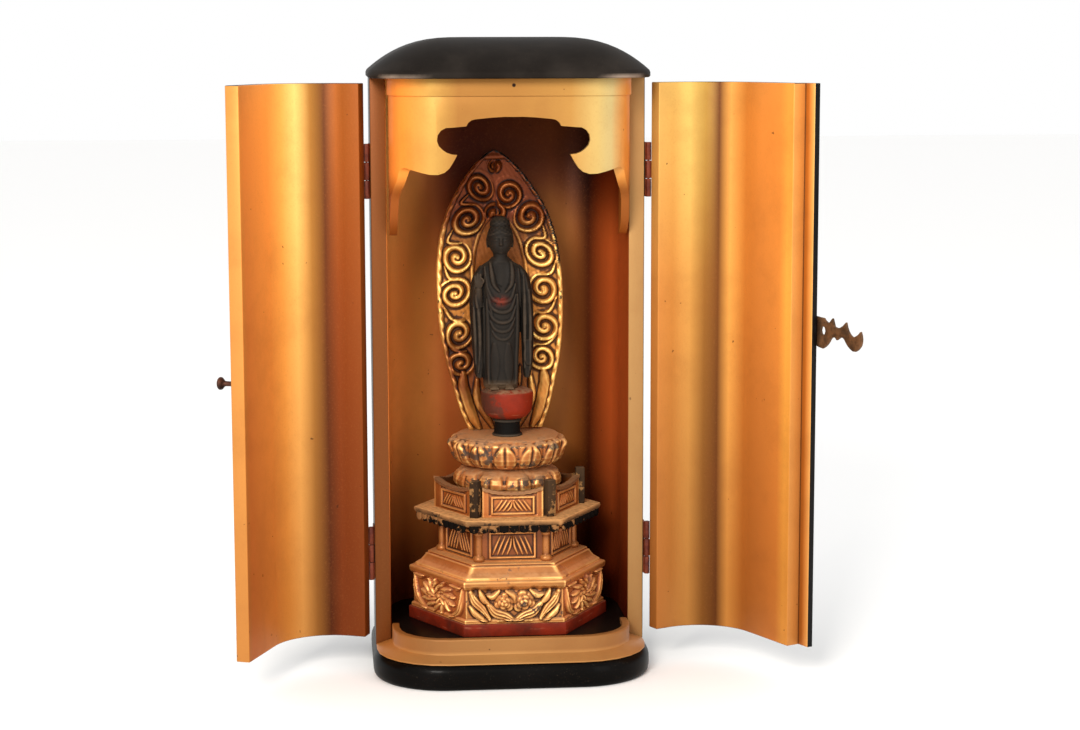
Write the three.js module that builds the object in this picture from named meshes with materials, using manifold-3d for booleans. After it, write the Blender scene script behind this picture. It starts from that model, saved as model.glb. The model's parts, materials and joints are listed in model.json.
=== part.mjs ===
// Small household altar cabinet: a round-cornered lacquered shrine with two curved doors,
// a lobed valance, and a standing figure on a tiered hexagonal pedestal.
// Millimetres, +Z up, the front faces -Y, origin at the middle of the base's underside.
import * as THREE from 'three';
import { mergeVertices } from 'three/addons/utils/BufferGeometryUtils.js';
import Module from 'manifold-3d';

const wasm = await Module();
wasm.setup();

// ---------- driving dimensions ----------
const totalHeight = 303;
const halfWidth = 65; // cabinet body and closed doors
const halfDepth = 56.15;
const cornerRadius = 33.5;
const fit = 0.3; // gap between neighbouring pieces that are let into each other

const baseTop = 12;
const baseOverhang = 1.5;
const floorTop = 20.9;
const sillRidge = 15.3;
const sillTop = 22.8;
const capBottom = 284.3;
const capRim = 3;
const capOverhang = 1;

const wallThickness = 7.5;
const hingePlane = -13.75; // front faces of the side walls
const doorThickness = 6.6;
const doorBottom = 18.1;
const doorTop = 281.8;
const doorBackGap = 0.9;
const meetingGap = 0.6;
const leftOpening = 111.6; // degrees from closed
const rightOpening = 115.8;

const hingeAxis = new THREE.Vector2(66.7, -14.2);
const hingeHeight = 25.8;
const hingeBottoms = { lower: 44.5, upper: 227.7 };
const knuckleRadius = 1.45;
const boreRadius = 0.85;
const pinRadius = 0.55;

const stripHalf = 6.5;
const stripThickness = 3.5;
const knobPlace = new THREE.Vector2(-8.5, 146.3);
const latchPivot = new THREE.Vector2(3.25, 171.1);

const boardThickness = 5; // sill, top rail and valance follow the doors' inside
const boardFront = -48.95;
const boardHalf = 57.2;
const boardRadius = 26.3;
const railBottom = 276.2;

const boardDepth = 3.5; // of the sill's upright stop, front to back

const pedestalAxis = new THREE.Vector2(0.5, 4.35);
const footingTop = 26.9; // heights of the pedestal's tiers
const plinthTop = 47.4;
const mouldingTop = 54.2;
const dadoTop = 71.2;
const slabUnderside = 73.2;
const slabTop = 76.4;
const lotusJoin = 96.4;
const seatTop = 112;
const figureFoot = 134.8;
const beyond = 80; // reach of a cutting box past every piece
const arcSteps = 6; // facets in a quarter turn of the lofted plans
const curveSteps = 4; // divisions of a drawn curve, doubled on arcs

// ---------- materials ----------
function finish(color, roughness, metalness) {
  return () => new THREE.MeshStandardMaterial({ color, roughness, metalness });
}
const blackLacquer = finish(0x1c1815, 0.3, 0);
const goldLacquer = finish(0xc8893c, 0.35, 0.8);
const carvedGold = finish(0xb87838, 0.45, 0.7);
const redLacquer = finish(0x8c2d1e, 0.5, 0);
const darkWood = finish(0x2a241e, 0.6, 0);
const oldBronze = finish(0x5a3a28, 0.5, 0.7);
const copper = finish(0x7a4028, 0.5, 0.7);

// ---------- scene helpers ----------
const cabinet = new THREE.Group();

function addPiece(name, geometry, makeMaterial, parent = cabinet) {
  const mesh = new THREE.Mesh(geometry, makeMaterial());
  mesh.name = name;
  parent.add(mesh);
  return mesh;
}

// ---------- solid helpers ----------
function solidOf(geometry) {
  const bare = geometry.clone();
  bare.deleteAttribute('normal');
  bare.deleteAttribute('uv');
  const merged = mergeVertices(bare, 1e-5);
  return new wasm.Manifold(new wasm.Mesh({
    numProp: 3,
    vertProperties: new Float32Array(merged.attributes.position.array),
    triVerts: new Uint32Array(merged.index.array),
  }));
}

function geometryOf(solid) {
  const mesh = solid.getMesh();
  const geometry = new THREE.BufferGeometry();
  geometry.setAttribute('position', new THREE.BufferAttribute(mesh.vertProperties, 3));
  geometry.setIndex(new THREE.BufferAttribute(mesh.triVerts, 1));
  return geometry;
}

function join(...geometries) {
  const solids = geometries.map(solidOf);
  return geometryOf(solids.reduce((whole, next) => whole.add(next)));
}

function cut(body, ...tools) {
  return geometryOf(tools.map(solidOf).reduce((whole, tool) => whole.subtract(tool), solidOf(body)));
}

function common(body, other) {
  return geometryOf(solidOf(body).intersect(solidOf(other)));
}

function box(x0, x1, y0, y1, z0, z1) {
  return new THREE.BoxGeometry(x1 - x0, y1 - y0, z1 - z0)
    .translate((x0 + x1) / 2, (y0 + y1) / 2, (z0 + z1) / 2);
}

function extrudeUp(shape, z0, z1, curveSegments = curveSteps) {
  return new THREE.ExtrudeGeometry(shape, { depth: z1 - z0, bevelEnabled: false, curveSegments })
    .translate(0, 0, z0);
}

// A flat shape drawn in X and Z, given its thickness from y0 back to y1.
function extrudeBack(shape, y0, y1, curveSegments = curveSteps) {
  return new THREE.ExtrudeGeometry(shape, { depth: y1 - y0, bevelEnabled: false, curveSegments })
    .rotateX(Math.PI / 2)
    .translate(0, y1, 0);
}

// Closes a stack of rings, each listed the same way round, into one solid.
function loft(rings) {
  const count = rings[0].length;
  const positions = rings.flat().flatMap((point) => [point.x, point.y, point.z]);
  const index = [];
  for (let level = 0; level + 1 < rings.length; level += 1) {
    for (let i = 0; i < count; i += 1) {
      const a = level * count + i;
      const b = level * count + ((i + 1) % count);
      index.push(a, b, b + count, a, b + count, a + count);
    }
  }
  [[0, 1], [rings.length - 1, -1]].forEach(([level, side]) => {
    const centre = positions.length / 3;
    const middle = rings[level].reduce((sum, point) => sum.add(point), new THREE.Vector3());
    positions.push(...middle.divideScalar(count).toArray());
    for (let i = 0; i < count; i += 1) {
      const a = level * count + i;
      const b = level * count + ((i + 1) % count);
      index.push(...(side > 0 ? [centre, b, a] : [centre, a, b]));
    }
  });
  const geometry = new THREE.BufferGeometry();
  geometry.setAttribute('position', new THREE.Float32BufferAttribute(positions, 3));
  geometry.setIndex(index);
  return geometry;
}

function turned(profile, segments) {
  const points = profile.map(([radius, height]) => new THREE.Vector2(radius, height));
  return new THREE.LatheGeometry(points, segments).rotateX(Math.PI / 2);
}

function spline(points, steps) {
  return new THREE.SplineCurve(points.map(([x, y]) => new THREE.Vector2(x, y))).getPoints(steps);
}

// ---------- plans ----------
// Round-cornered rectangle, counter-clockwise from above, drawn in by an inset.
function roundedPlan(halfX, halfY, radius, z, inset = 0) {
  const x = halfX - inset;
  const y = halfY - inset;
  const r = Math.max(radius - inset, 1);
  const corners = [[1, -1, 270], [1, 1, 0], [-1, 1, 90], [-1, -1, 180]];
  return corners.flatMap(([sideX, sideY, start]) => Array.from({ length: arcSteps + 1 }, (_, i) => {
    const angle = THREE.MathUtils.degToRad(start + (90 * i) / arcSteps);
    return new THREE.Vector3(
      sideX * (x - r) + r * Math.cos(angle),
      sideY * (y - r) + r * Math.sin(angle),
      z,
    );
  }));
}

// U of constant thickness: open at openEnd, round at both far corners. side -1 faces the front.
function hoopShape(outerHalf, outerFar, radius, thickness, openEnd, side) {
  const quarter = Math.PI / 2;
  const start = side > 0 ? 0 : Math.PI;
  const shape = new THREE.Shape();
  const centreX = outerHalf - radius;
  const centreY = outerFar - side * radius;
  shape.moveTo(side * outerHalf, openEnd);
  shape.lineTo(side * outerHalf, centreY);
  shape.absarc(side * centreX, centreY, radius, start, start + quarter, false);
  shape.absarc(-side * centreX, centreY, radius, start + quarter, start + 2 * quarter, false);
  shape.lineTo(-side * outerHalf, openEnd);
  shape.lineTo(-side * (outerHalf - thickness), openEnd);
  shape.lineTo(-side * (outerHalf - thickness), centreY);
  shape.absarc(-side * centreX, centreY, radius - thickness, start + 2 * quarter, start + quarter, true);
  shape.absarc(side * centreX, centreY, radius - thickness, start + quarter, start, true);
  shape.lineTo(side * (outerHalf - thickness), openEnd);
  shape.closePath();
  return shape;
}

// ---------- cabinet ----------
function basePlinth() {
  const cushion = [[0, 2.4], [0.8, 1], [3, 0], [8.6, 0], [10.8, 0.8], [baseTop, 2.4]];
  return loft(cushion.map(([z, inset]) => roundedPlan(
    halfWidth + baseOverhang,
    halfDepth + baseOverhang,
    cornerRadius + baseOverhang,
    z,
    inset,
  )));
}

function cap() {
  const rimTop = capBottom + capRim;
  const domeRun = 45;
  const domePower = 2.6;
  const insets = [1.2, 4.5, 10, 18, 29, domeRun];
  const dome = insets.map((inset) => {
    const rise = 1 - (1 - inset / domeRun) ** domePower;
    return [rimTop + (totalHeight - rimTop) * rise, inset];
  });
  const levels = [[capBottom, 0.8], [capBottom + 0.7, 0], [rimTop - 0.6, 0], ...dome];
  return loft(levels.map(([z, inset]) => roundedPlan(
    halfWidth + capOverhang,
    halfDepth + capOverhang,
    cornerRadius + capOverhang,
    z,
    inset,
  )));
}

function cabinetShell() {
  const shape = hoopShape(halfWidth, halfDepth, cornerRadius, wallThickness, hingePlane, 1);
  return extrudeUp(shape, baseTop, capBottom);
}

// Front step of the floor: a slope out under the doors and an upright stop behind them.
function thresholdSill() {
  const toeInset = 0.3;
  const toeHeight = 0.7;
  const slope = loft([
    roundedPlan(halfWidth, halfDepth, cornerRadius, baseTop, toeInset),
    roundedPlan(halfWidth, halfDepth, cornerRadius, baseTop + toeHeight, toeInset),
    roundedPlan(boardHalf, -boardFront, boardRadius, sillRidge, 0),
    roundedPlan(boardHalf, -boardFront, boardRadius, sillTop - 0.5, 0),
    roundedPlan(boardHalf, -boardFront, boardRadius, sillTop, 0.5),
  ]);
  const behind = box(-beyond, beyond, hingePlane - fit, beyond, 0, beyond);
  const inner = loft([
    roundedPlan(boardHalf, -boardFront, boardRadius, 0, boardDepth),
    roundedPlan(boardHalf, -boardFront, boardRadius, beyond, boardDepth),
  ]);
  return cut(slope, behind, inner);
}

function floorPanel() {
  const inset = boardDepth + fit;
  const front = loft([
    roundedPlan(boardHalf, -boardFront, boardRadius, baseTop, inset),
    roundedPlan(boardHalf, -boardFront, boardRadius, floorTop, inset),
  ]);
  const back = loft([
    roundedPlan(halfWidth, halfDepth, cornerRadius, baseTop, wallThickness + fit),
    roundedPlan(halfWidth, halfDepth, cornerRadius, floorTop, wallThickness + fit),
  ]);
  const split = hingePlane - fit;
  return join(
    common(front, box(-beyond, beyond, -beyond, split, 0, beyond)),
    common(back, box(-beyond, beyond, split, beyond, 0, beyond)),
  );
}

function topRail() {
  const shape = hoopShape(boardHalf, boardFront, boardRadius, boardThickness, hingePlane - fit, -1);
  return extrudeUp(shape, railBottom, capBottom);
}

const returnBottom = 208; // where the valance's side returns run out
const cornerNotch = 243.6; // valance edge at its round corners

// Front opening under the valance, in X and Z. From the middle out its upper edge has a stepped
// flat, a round lobe, an inward point, a lower lobe and a rising edge that meets the corner.
function valanceOpening() {
  const shape = new THREE.Shape();
  const low = returnBottom - 18;
  const side = 70;
  shape.moveTo(-side, low);
  shape.lineTo(side, low);
  shape.lineTo(side, cornerNotch);
  shape.lineTo(50.5, 243.8);
  shape.quadraticCurveTo(44, 241.6, 38.5, 240.6);
  shape.quadraticCurveTo(32.5, 239.8, 29.6, 243.5);
  shape.quadraticCurveTo(27.6, 246.4, 26, 249.6);
  shape.quadraticCurveTo(30, 249.6, 32.6, 251.9);
  shape.absarc(29.7, 256.6, 5.5, -1, 1.75, false);
  shape.lineTo(21.8, 262.6);
  shape.quadraticCurveTo(20.6, 265.6, 17.6, 265.8);
  shape.quadraticCurveTo(5, 267.2, 0, 266.8);
  shape.quadraticCurveTo(-5, 267.2, -17.6, 265.8);
  shape.quadraticCurveTo(-20.6, 265.6, -21.8, 262.6);
  shape.absarc(-29.7, 256.6, 5.5, Math.PI - 1.75, Math.PI + 1, false);
  shape.quadraticCurveTo(-30, 249.6, -26, 249.6);
  shape.quadraticCurveTo(-27.6, 246.4, -29.6, 243.5);
  shape.quadraticCurveTo(-32.5, 239.8, -38.5, 240.6);
  shape.quadraticCurveTo(-44, 241.6, -50.5, 243.8);
  shape.lineTo(-side, cornerNotch);
  shape.closePath();
  return shape;
}

// The side returns' bracket edge, drawn in Y and Z: a rounded notch, a cusp and a long tongue.
function returnOpening() {
  const shape = new THREE.Shape();
  const low = returnBottom - 8;
  shape.moveTo(-60, low);
  shape.lineTo(-60, cornerNotch);
  shape.lineTo(-40, cornerNotch);
  shape.quadraticCurveTo(-36.6, 243.4, -35.6, 239.6);
  shape.quadraticCurveTo(-34.6, 236, -30.9, 232.4);
  shape.quadraticCurveTo(-27.6, 229.5, -26.4, 225.6);
  shape.quadraticCurveTo(-24.4, 217.4, -16.5, 211.7);
  shape.lineTo(-10, returnBottom);
  shape.lineTo(-10, low);
  shape.closePath();
  return shape;
}

function valance() {
  const setBack = 0.8;
  const thickness = boardThickness - 1.2;
  const shape = hoopShape(
    boardHalf - setBack,
    boardFront + setBack,
    boardRadius - setBack,
    thickness,
    hingePlane - fit,
    -1,
  );
  const lobeHalf = 50.4;
  const lobeBack = -39.9;
  const returns = new THREE.ExtrudeGeometry(returnOpening(), {
    depth: 2 * beyond,
    bevelEnabled: false,
    curveSegments: 3,
  }).applyMatrix4(new THREE.Matrix4().makeBasis(
    new THREE.Vector3(0, 1, 0),
    new THREE.Vector3(0, 0, 1),
    new THREE.Vector3(1, 0, 0),
  )).translate(-beyond, 0, 0);
  const lobes = box(-lobeHalf, lobeHalf, -beyond, lobeBack, 0, cornerNotch + 1);
  return cut(
    extrudeUp(shape, returnBottom, railBottom),
    cut(returns, lobes),
    extrudeBack(valanceOpening(), -beyond, lobeBack, 3),
  );
}

// ---------- doors ----------
function doorLeaf() {
  const shape = new THREE.Shape();
  const centreX = halfWidth - cornerRadius;
  const centreY = -halfDepth + cornerRadius;
  const inner = cornerRadius - doorThickness;
  const back = hingePlane - doorBackGap;
  shape.moveTo(meetingGap / 2, -halfDepth);
  shape.lineTo(centreX, -halfDepth);
  shape.absarc(centreX, centreY, cornerRadius, -Math.PI / 2, 0, false);
  shape.lineTo(halfWidth, back);
  shape.lineTo(halfWidth - doorThickness, back);
  shape.lineTo(halfWidth - doorThickness, centreY);
  shape.absarc(centreX, centreY, inner, 0, -Math.PI / 2, true);
  shape.lineTo(meetingGap / 2, -halfDepth + doorThickness);
  shape.closePath();
  return extrudeUp(shape, doorBottom, doorTop, 6);
}

function mirrored(geometry) {
  const flipped = (geometry.index ? geometry.toNonIndexed() : geometry.clone()).scale(-1, 1, 1);
  const position = flipped.attributes.position;
  for (let i = 0; i < position.count; i += 3) {
    const second = new THREE.Vector3().fromBufferAttribute(position, i + 1);
    const third = new THREE.Vector3().fromBufferAttribute(position, i + 2);
    position.setXYZ(i + 1, ...third.toArray());
    position.setXYZ(i + 2, ...second.toArray());
  }
  flipped.deleteAttribute('normal');
  flipped.deleteAttribute('uv');
  return mergeVertices(flipped, 1e-5);
}

// Group turning about a hinge line, holding pieces drawn in the closed position.
function hungGroup(side, degrees) {
  const hung = new THREE.Group();
  const shifted = new THREE.Group();
  hung.position.set(side * hingeAxis.x, hingeAxis.y, 0);
  hung.rotation.z = THREE.MathUtils.degToRad(side * degrees);
  shifted.position.set(-side * hingeAxis.x, -hingeAxis.y, 0);
  hung.add(shifted);
  cabinet.add(hung);
  return shifted;
}

function closingStrip() {
  const lip = 0.5;
  const shape = new THREE.Shape();
  const back = -halfDepth;
  const front = -halfDepth - stripThickness;
  shape.moveTo(-stripHalf, back);
  shape.lineTo(-stripHalf, front + lip);
  shape.lineTo(-stripHalf + lip, front);
  shape.lineTo(stripHalf - lip, front);
  shape.lineTo(stripHalf, front + lip);
  shape.lineTo(stripHalf, back);
  shape.closePath();
  const strip = extrudeUp(shape, doorBottom, doorTop);
  const clearance = 0.3;
  const relief = box(-stripHalf - 1, meetingGap / 2, back - clearance, back + 1, 0, totalHeight);
  return cut(strip, relief);
}

// ---------- hinges ----------
function knuckle(z0, z1) {
  const ring = new THREE.Shape().absarc(0, 0, knuckleRadius, 0, 2 * Math.PI, false);
  ring.holes.push(new THREE.Path().absarc(0, 0, boreRadius, 0, 2 * Math.PI, true));
  return extrudeUp(ring, z0, z1, 3).translate(hingeAxis.x, hingeAxis.y, 0);
}

// side +1 reaches back over the cabinet wall, -1 forward over the door.
function hingeLeaf(side, bottom, barrels) {
  const plateInner = halfWidth + 0.05;
  const plateOuter = halfWidth + 0.75;
  const near = 1.75;
  const far = 9.2;
  const across = [hingeAxis.y + side * near, hingeAxis.y + side * far].sort((a, b) => a - b);
  const plate = box(plateInner, plateOuter, ...across, bottom, bottom + hingeHeight);
  const parts = barrels.flatMap(([z0, z1]) => {
    const tab = [hingeAxis.y + side * 0.4, hingeAxis.y + side * (near + 0.5)].sort((a, b) => a - b);
    return [
      box(plateInner + 0.1, plateOuter, ...tab, bottom + z0 + 0.2, bottom + z1 - 0.2),
      knuckle(bottom + z0, bottom + z1),
    ];
  });
  return join(plate, ...parts);
}

function hinge(name, side, bottom, doorGroup) {
  const third = hingeHeight / 3;
  const gap = 0.15;
  const outer = [[0, third - gap], [2 * third + gap, hingeHeight]];
  const middle = [[third + gap, 2 * third - gap]];
  const place = side > 0 ? (geometry) => geometry : mirrored;
  const pin = new THREE.CylinderGeometry(pinRadius, pinRadius, hingeHeight, 6)
    .rotateX(Math.PI / 2)
    .translate(hingeAxis.x, hingeAxis.y, bottom + hingeHeight / 2);
  addPiece(`${name}_body_leaf`, place(hingeLeaf(1, bottom, outer)), copper);
  addPiece(`${name}_door_leaf`, place(hingeLeaf(-1, bottom, middle)), copper, doorGroup);
  addPiece(`${name}_pin`, place(pin), copper);
}

// ---------- knob and latch ----------
function doorKnob() {
  const profile = [[0, 0], [1.25, 0], [1.25, 6], [2.2, 7.2], [3, 8.4], [2.9, 9.3], [1.9, 9.9], [0, 10]];
  return turned(profile, 12)
    .rotateX(Math.PI / 2)
    .translate(knobPlace.x, -halfDepth, knobPlace.y);
}

const plateBack = stripThickness + 0.4;
const plateThickness = 1.2;

// Lobed hook plate, drawn about its rivet with X pointing out past the door's edge and Y up.
function latchHook() {
  const hook = new THREE.Shape();
  hook.moveTo(-4.6, 0.6);
  hook.quadraticCurveTo(-4, 4.6, 1.5, 4.4);
  hook.quadraticCurveTo(8, 3.4, 13.6, 3.3);
  hook.quadraticCurveTo(14.6, 1.8, 17.4, 1.3);
  hook.lineTo(20, 3.9);
  hook.lineTo(21.6, 0);
  hook.quadraticCurveTo(25.4, -1.4, 29.8, 3);
  hook.quadraticCurveTo(31, -2, 34.6, -3.3);
  hook.quadraticCurveTo(37.8, -3, 40.3, -0.2);
  hook.quadraticCurveTo(42.4, -4, 40.6, -7);
  hook.quadraticCurveTo(37, -11.6, 33, -9);
  hook.quadraticCurveTo(30.6, -7.6, 28.8, -5.2);
  hook.quadraticCurveTo(27, -3.6, 25.3, -4.9);
  hook.lineTo(23.2, -6.1);
  hook.quadraticCurveTo(21.4, -3.6, 18.8, -6);
  hook.quadraticCurveTo(16.8, -9.4, 13.1, -11);
  hook.quadraticCurveTo(6, -10.6, 3, -6.4);
  hook.quadraticCurveTo(-4.4, -6, -4.6, 0.6);
  const hole = new THREE.Path();
  hole.absarc(0, 0, 1.7, 0, 2 * Math.PI, false);
  const eye = new THREE.Path();
  eye.absellipse(13.2, -2.6, 1.7, 2.1, 0, 2 * Math.PI, false);
  hook.holes.push(hole, eye);
  const front = -halfDepth - plateBack - plateThickness;
  return mirrored(extrudeBack(hook, front, front + plateThickness, 4))
    .translate(latchPivot.x, 0, latchPivot.y);
}

function latchRivet() {
  const start = stripThickness;
  const plateFront = plateBack + plateThickness + 0.3;
  const profile = [[0, start], [1.3, start], [1.3, plateFront], [2.7, plateFront], [2.5, plateFront + 0.8],
    [1.3, plateFront + 1.4], [0, plateFront + 1.5]];
  return turned(profile, 12)
    .rotateX(Math.PI / 2)
    .translate(latchPivot.x, -halfDepth, latchPivot.y);
}

// ---------- pedestal ----------
// Regular hexagon with a flat side to the front, given by its corner radius.
function hexRing(radius, z) {
  return Array.from({ length: 6 }, (_, i) => {
    const angle = (i * Math.PI) / 3;
    return new THREE.Vector3(
      pedestalAxis.x + radius * Math.cos(angle),
      pedestalAxis.y + radius * Math.sin(angle),
      z,
    );
  });
}

function hexTier(levels) {
  return loft(levels.map(([z, radius]) => hexRing(radius, z)));
}

// Places work drawn about the origin, facing -Y, on side number n of the hexagon (0 is the front).
function onSide(geometry, n, radius, z = 0) {
  const apothem = (radius * Math.sqrt(3)) / 2;
  return geometry
    .translate(0, -apothem, z)
    .rotateZ((n * Math.PI) / 3)
    .translate(pedestalAxis.x, pedestalAxis.y, 0);
}

// Level of a lotus: each petal swells to the radius and falls back by the wave at its edges.
function petalRing(petals, radius, wave, z) {
  const petalSteps = 3;
  return Array.from({ length: petals * petalSteps }, (_, i) => {
    const angle = (2 * Math.PI * (i + 0.5)) / (petals * petalSteps);
    const swell = Math.abs(Math.sin((petals * angle) / 2));
    const reach = radius - wave * 2 * (1 - swell);
    return new THREE.Vector3(
      pedestalAxis.x + reach * Math.cos(angle),
      pedestalAxis.y + reach * Math.sin(angle),
      z,
    );
  });
}

// Full blown flower seen face on: an outer whorl, an inner whorl and a boss.
function rosette(size, petals) {
  const levels = [[1, -0.8, 0.14], [0.94, 1.5, 0.16], [0.56, 0.9, 0.2], [0.34, 2.4, 0.15]];
  const petalSteps = 3;
  const rings = levels.map(([scale, lift, wave]) => Array.from({ length: petals * petalSteps }, (_, i) => {
    const angle = (2 * Math.PI * i) / (petals * petalSteps);
    const radius = size * scale * (1 - wave * Math.abs(Math.sin((petals * angle) / 2 + lift)));
    return new THREE.Vector3(radius * Math.cos(angle), -lift, radius * Math.sin(angle));
  }));
  return loft(rings);
}

// Raised band with a ridged section along a flat curve in X and Z, sunk a little at its foot.
function raisedBand(points, width, height, steps) {
  const path = spline(points, steps);
  const rings = path.map((point, i) => {
    const ahead = path[Math.min(i + 1, steps)];
    const behind = path[Math.max(i - 1, 0)];
    const along = ahead.clone().sub(behind).normalize();
    const taper = 0.35 + 0.65 * Math.sin((Math.PI * (i + 0.6)) / (steps + 1.2));
    const half = (width / 2) * taper;
    const across = new THREE.Vector2(-along.y, along.x).multiplyScalar(half);
    return [
      new THREE.Vector3(point.x + across.x, 0.4, point.y + across.y),
      new THREE.Vector3(point.x, -height * taper, point.y),
      new THREE.Vector3(point.x - across.x, 0.4, point.y - across.y),
    ];
  });
  return loft(rings);
}

function carvedPlinth() {
  const radius = 46.8;
  const faceMiddle = 36.6;
  const body = hexTier([
    [footingTop, 47.4], [28.6, 47.4], [29.2, radius - 0.6], [42.8, radius - 0.6], [44, 47.8], [46.6, 48.4],
    [plinthTop, 47.8],
  ]);
  const apron = [
    raisedBand([[-21, 5], [-19, -1], [-14.5, -6.6], [-9.4, -8]], 3.4, 2, 4),
    raisedBand([[21, 5], [19, -1], [14.5, -6.6], [9.4, -8]], 3.4, 2, 4),
    raisedBand([[-11, 0.4], [-6, -5], [0, -7.6], [6, -5.6], [11, -1]], 3.4, 2.3, 6),
    raisedBand([[-17, 4.5], [-13, 1], [-10.6, -3.6], [-7.4, -7.6]], 2.4, 1.6, 4),
    raisedBand([[17, 4.5], [13, 1], [10.6, -3.6], [7.4, -7.6]], 2.4, 1.6, 4),
    raisedBand([[1.6, -2.4], [5.6, -3.6], [7.4, -0.2], [5, 2.8], [1.8, 1.4], [3, -1]], 1.7, 1.8, 7),
    raisedBand([[-1.6, -2.4], [-5.6, -3.2], [-7.6, 0.4], [-4.4, 3], [-1.6, 2]], 2, 1.7, 5),
    raisedBand([[-7, 5.2], [-2.6, 5], [0, 3.4], [2.6, 5], [8, 5.2]], 1.8, 1.5, 4),
  ].map((band) => onSide(band, 0, radius - 0.6, faceMiddle));
  const flowers = [1, 5].map((n) => onSide(rosette(8.2, 5).rotateY(n), n, radius - 0.9, faceMiddle));
  const stems = [1, 2, 4, 5].flatMap((n) => [
    raisedBand([[-20, 6], [-18.4, 0], [-14, -5.6], [-8, -7.6]], 3, 1.8, 3),
    raisedBand([[20, 6], [18.4, 0], [14, -5.6], [8, -7.6]], 3, 1.8, 3),
  ].map((band) => onSide(band, n, radius - 0.6, faceMiddle)));
  return join(body, ...apron, ...flowers, ...stems);
}

function stepMoulding() {
  return hexTier([
    [plinthTop, 45.6], [48.5, 45.6], [49.2, 44.2], [51.2, 41.6], [53.2, 40.2], [53.4, 39.2],
    [mouldingTop, 39.2],
  ]);
}

// Shallow carved panel: a raised frame with slanting leaf blades inside.
function leafPanel(halfX, halfZ, bladeCount) {
  const bar = 1.1;
  const rise = 0.8;
  const frame = new THREE.Shape([[-1, -1], [1, -1], [1, 1], [-1, 1]]
    .map(([x, z]) => new THREE.Vector2(x * halfX, z * halfZ)));
  frame.holes.push(new THREE.Path([[-1, -1], [-1, 1], [1, 1], [1, -1]]
    .map(([x, z]) => new THREE.Vector2(x * (halfX - bar), z * (halfZ - bar)))));
  const blades = Array.from({ length: bladeCount }, (_, i) => {
    const place = ((i + 0.5) / bladeCount - 0.5) * 2 * (halfX - 2.4);
    const lean = place < 0 ? 1 : -1;
    const reach = halfZ - 1.4;
    return raisedBand([[place - lean * 1.8, -reach], [place, 0], [place + lean * 2.6, reach]], 1.8, 1, 2);
  });
  return [extrudeBack(frame, -rise, 0.4), ...blades];
}

function dado() {
  const radius = 32.6;
  const height = dadoTop - mouldingTop;
  const middle = mouldingTop + height / 2 - 0.6;
  const body = hexTier([[mouldingTop, radius], [dadoTop, radius]]);
  const columnProfile = [[0, 0], [3, 0], [3, 1.4], [1.8, 3], [1.8, height], [0, height]];
  const columns = hexRing(radius - 0.4, mouldingTop).map((place) => turned(columnProfile, 6)
    .translate(place.x, place.y, place.z));
  const panels = [0, 1, 5].flatMap((n) => leafPanel(11.6, 6.2, 3)
    .map((part) => onSide(part, n, radius, middle)));
  return join(body, ...columns, ...panels);
}

// Six-sided table with a scalloped fringe hanging from its edge.
function hexSlab() {
  const radius = 45.6;
  const lobes = 5;
  const table = hexTier([
    [dadoTop, 34], [slabUnderside, 36], [slabUnderside, radius - 0.8], [75.6, radius + 0.4],
    [slabTop, radius],
  ]);
  const fringe = new THREE.Shape();
  const half = radius / 2 - 0.7;
  fringe.moveTo(-half, slabUnderside + 1.2);
  for (let i = 0; i < lobes; i += 1) {
    const width = (2 * half) / lobes;
    const start = -half + i * width;
    const dip = i % 2 === 0 ? 70.2 : 70.9;
    fringe.lineTo(start, 72.4);
    fringe.lineTo(start + 0.28 * width, dip);
    fringe.lineTo(start + 0.72 * width, dip);
  }
  fringe.lineTo(half, 72.4);
  fringe.lineTo(half, slabUnderside + 1.2);
  fringe.closePath();
  const thickness = 1.8;
  const strips = [0, 1, 2, 3, 4, 5].map((n) => onSide(extrudeBack(fringe, 0, thickness), n, radius - 1.4));
  return join(table, ...strips);
}

const galleryRadius = 36.2;
const galleryTop = 90.8;
const galleryWall = 2.4;
const postHalf = 2.2;
const postReach = 3.6; // of a turned post along its neighbour panel, with its gap

// Upright leaf panel on side n of the gallery; its top edge dips in the middle.
function galleryPanel(n) {
  const dip = 2.4;
  const railDepth = 1.8;
  const half = galleryRadius / 2;
  const leftEnd = n === 5 ? half - 1.6 : half - postReach;
  const rightEnd = n === 4 ? half - 1.6 : half - postReach;
  const side = new THREE.Shape();
  side.moveTo(-leftEnd, slabTop);
  side.lineTo(rightEnd, slabTop);
  side.lineTo(rightEnd, galleryTop);
  side.quadraticCurveTo(0, galleryTop - 2 * dip, -leftEnd, galleryTop);
  side.closePath();
  const rail = new THREE.Shape();
  rail.moveTo(rightEnd, galleryTop - railDepth);
  rail.lineTo(rightEnd, galleryTop);
  rail.quadraticCurveTo(0, galleryTop - 2 * dip, -leftEnd, galleryTop);
  rail.lineTo(-leftEnd, galleryTop - railDepth);
  rail.quadraticCurveTo(0, galleryTop - 2 * dip - railDepth, rightEnd, galleryTop - railDepth);
  const seen = [0, 1, 5].includes(n);
  const carving = seen ? leafPanel(10.4, 4.2, 3).map((part) => part.translate(0, 0, 82)) : [];
  const panel = join(extrudeBack(side, 0, galleryWall), extrudeBack(rail, -0.8, 0.5), ...carving);
  return onSide(panel, n, galleryRadius);
}

function galleryPost(angle, top) {
  const radial = THREE.MathUtils.degToRad(angle);
  return box(-postHalf, postHalf, -postHalf, postHalf, slabTop, top)
    .rotateZ(radial)
    .translate(
      pedestalAxis.x + (galleryRadius - 0.6) * Math.cos(radial),
      pedestalAxis.y + (galleryRadius - 0.6) * Math.sin(radial),
      0,
    );
}

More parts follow.
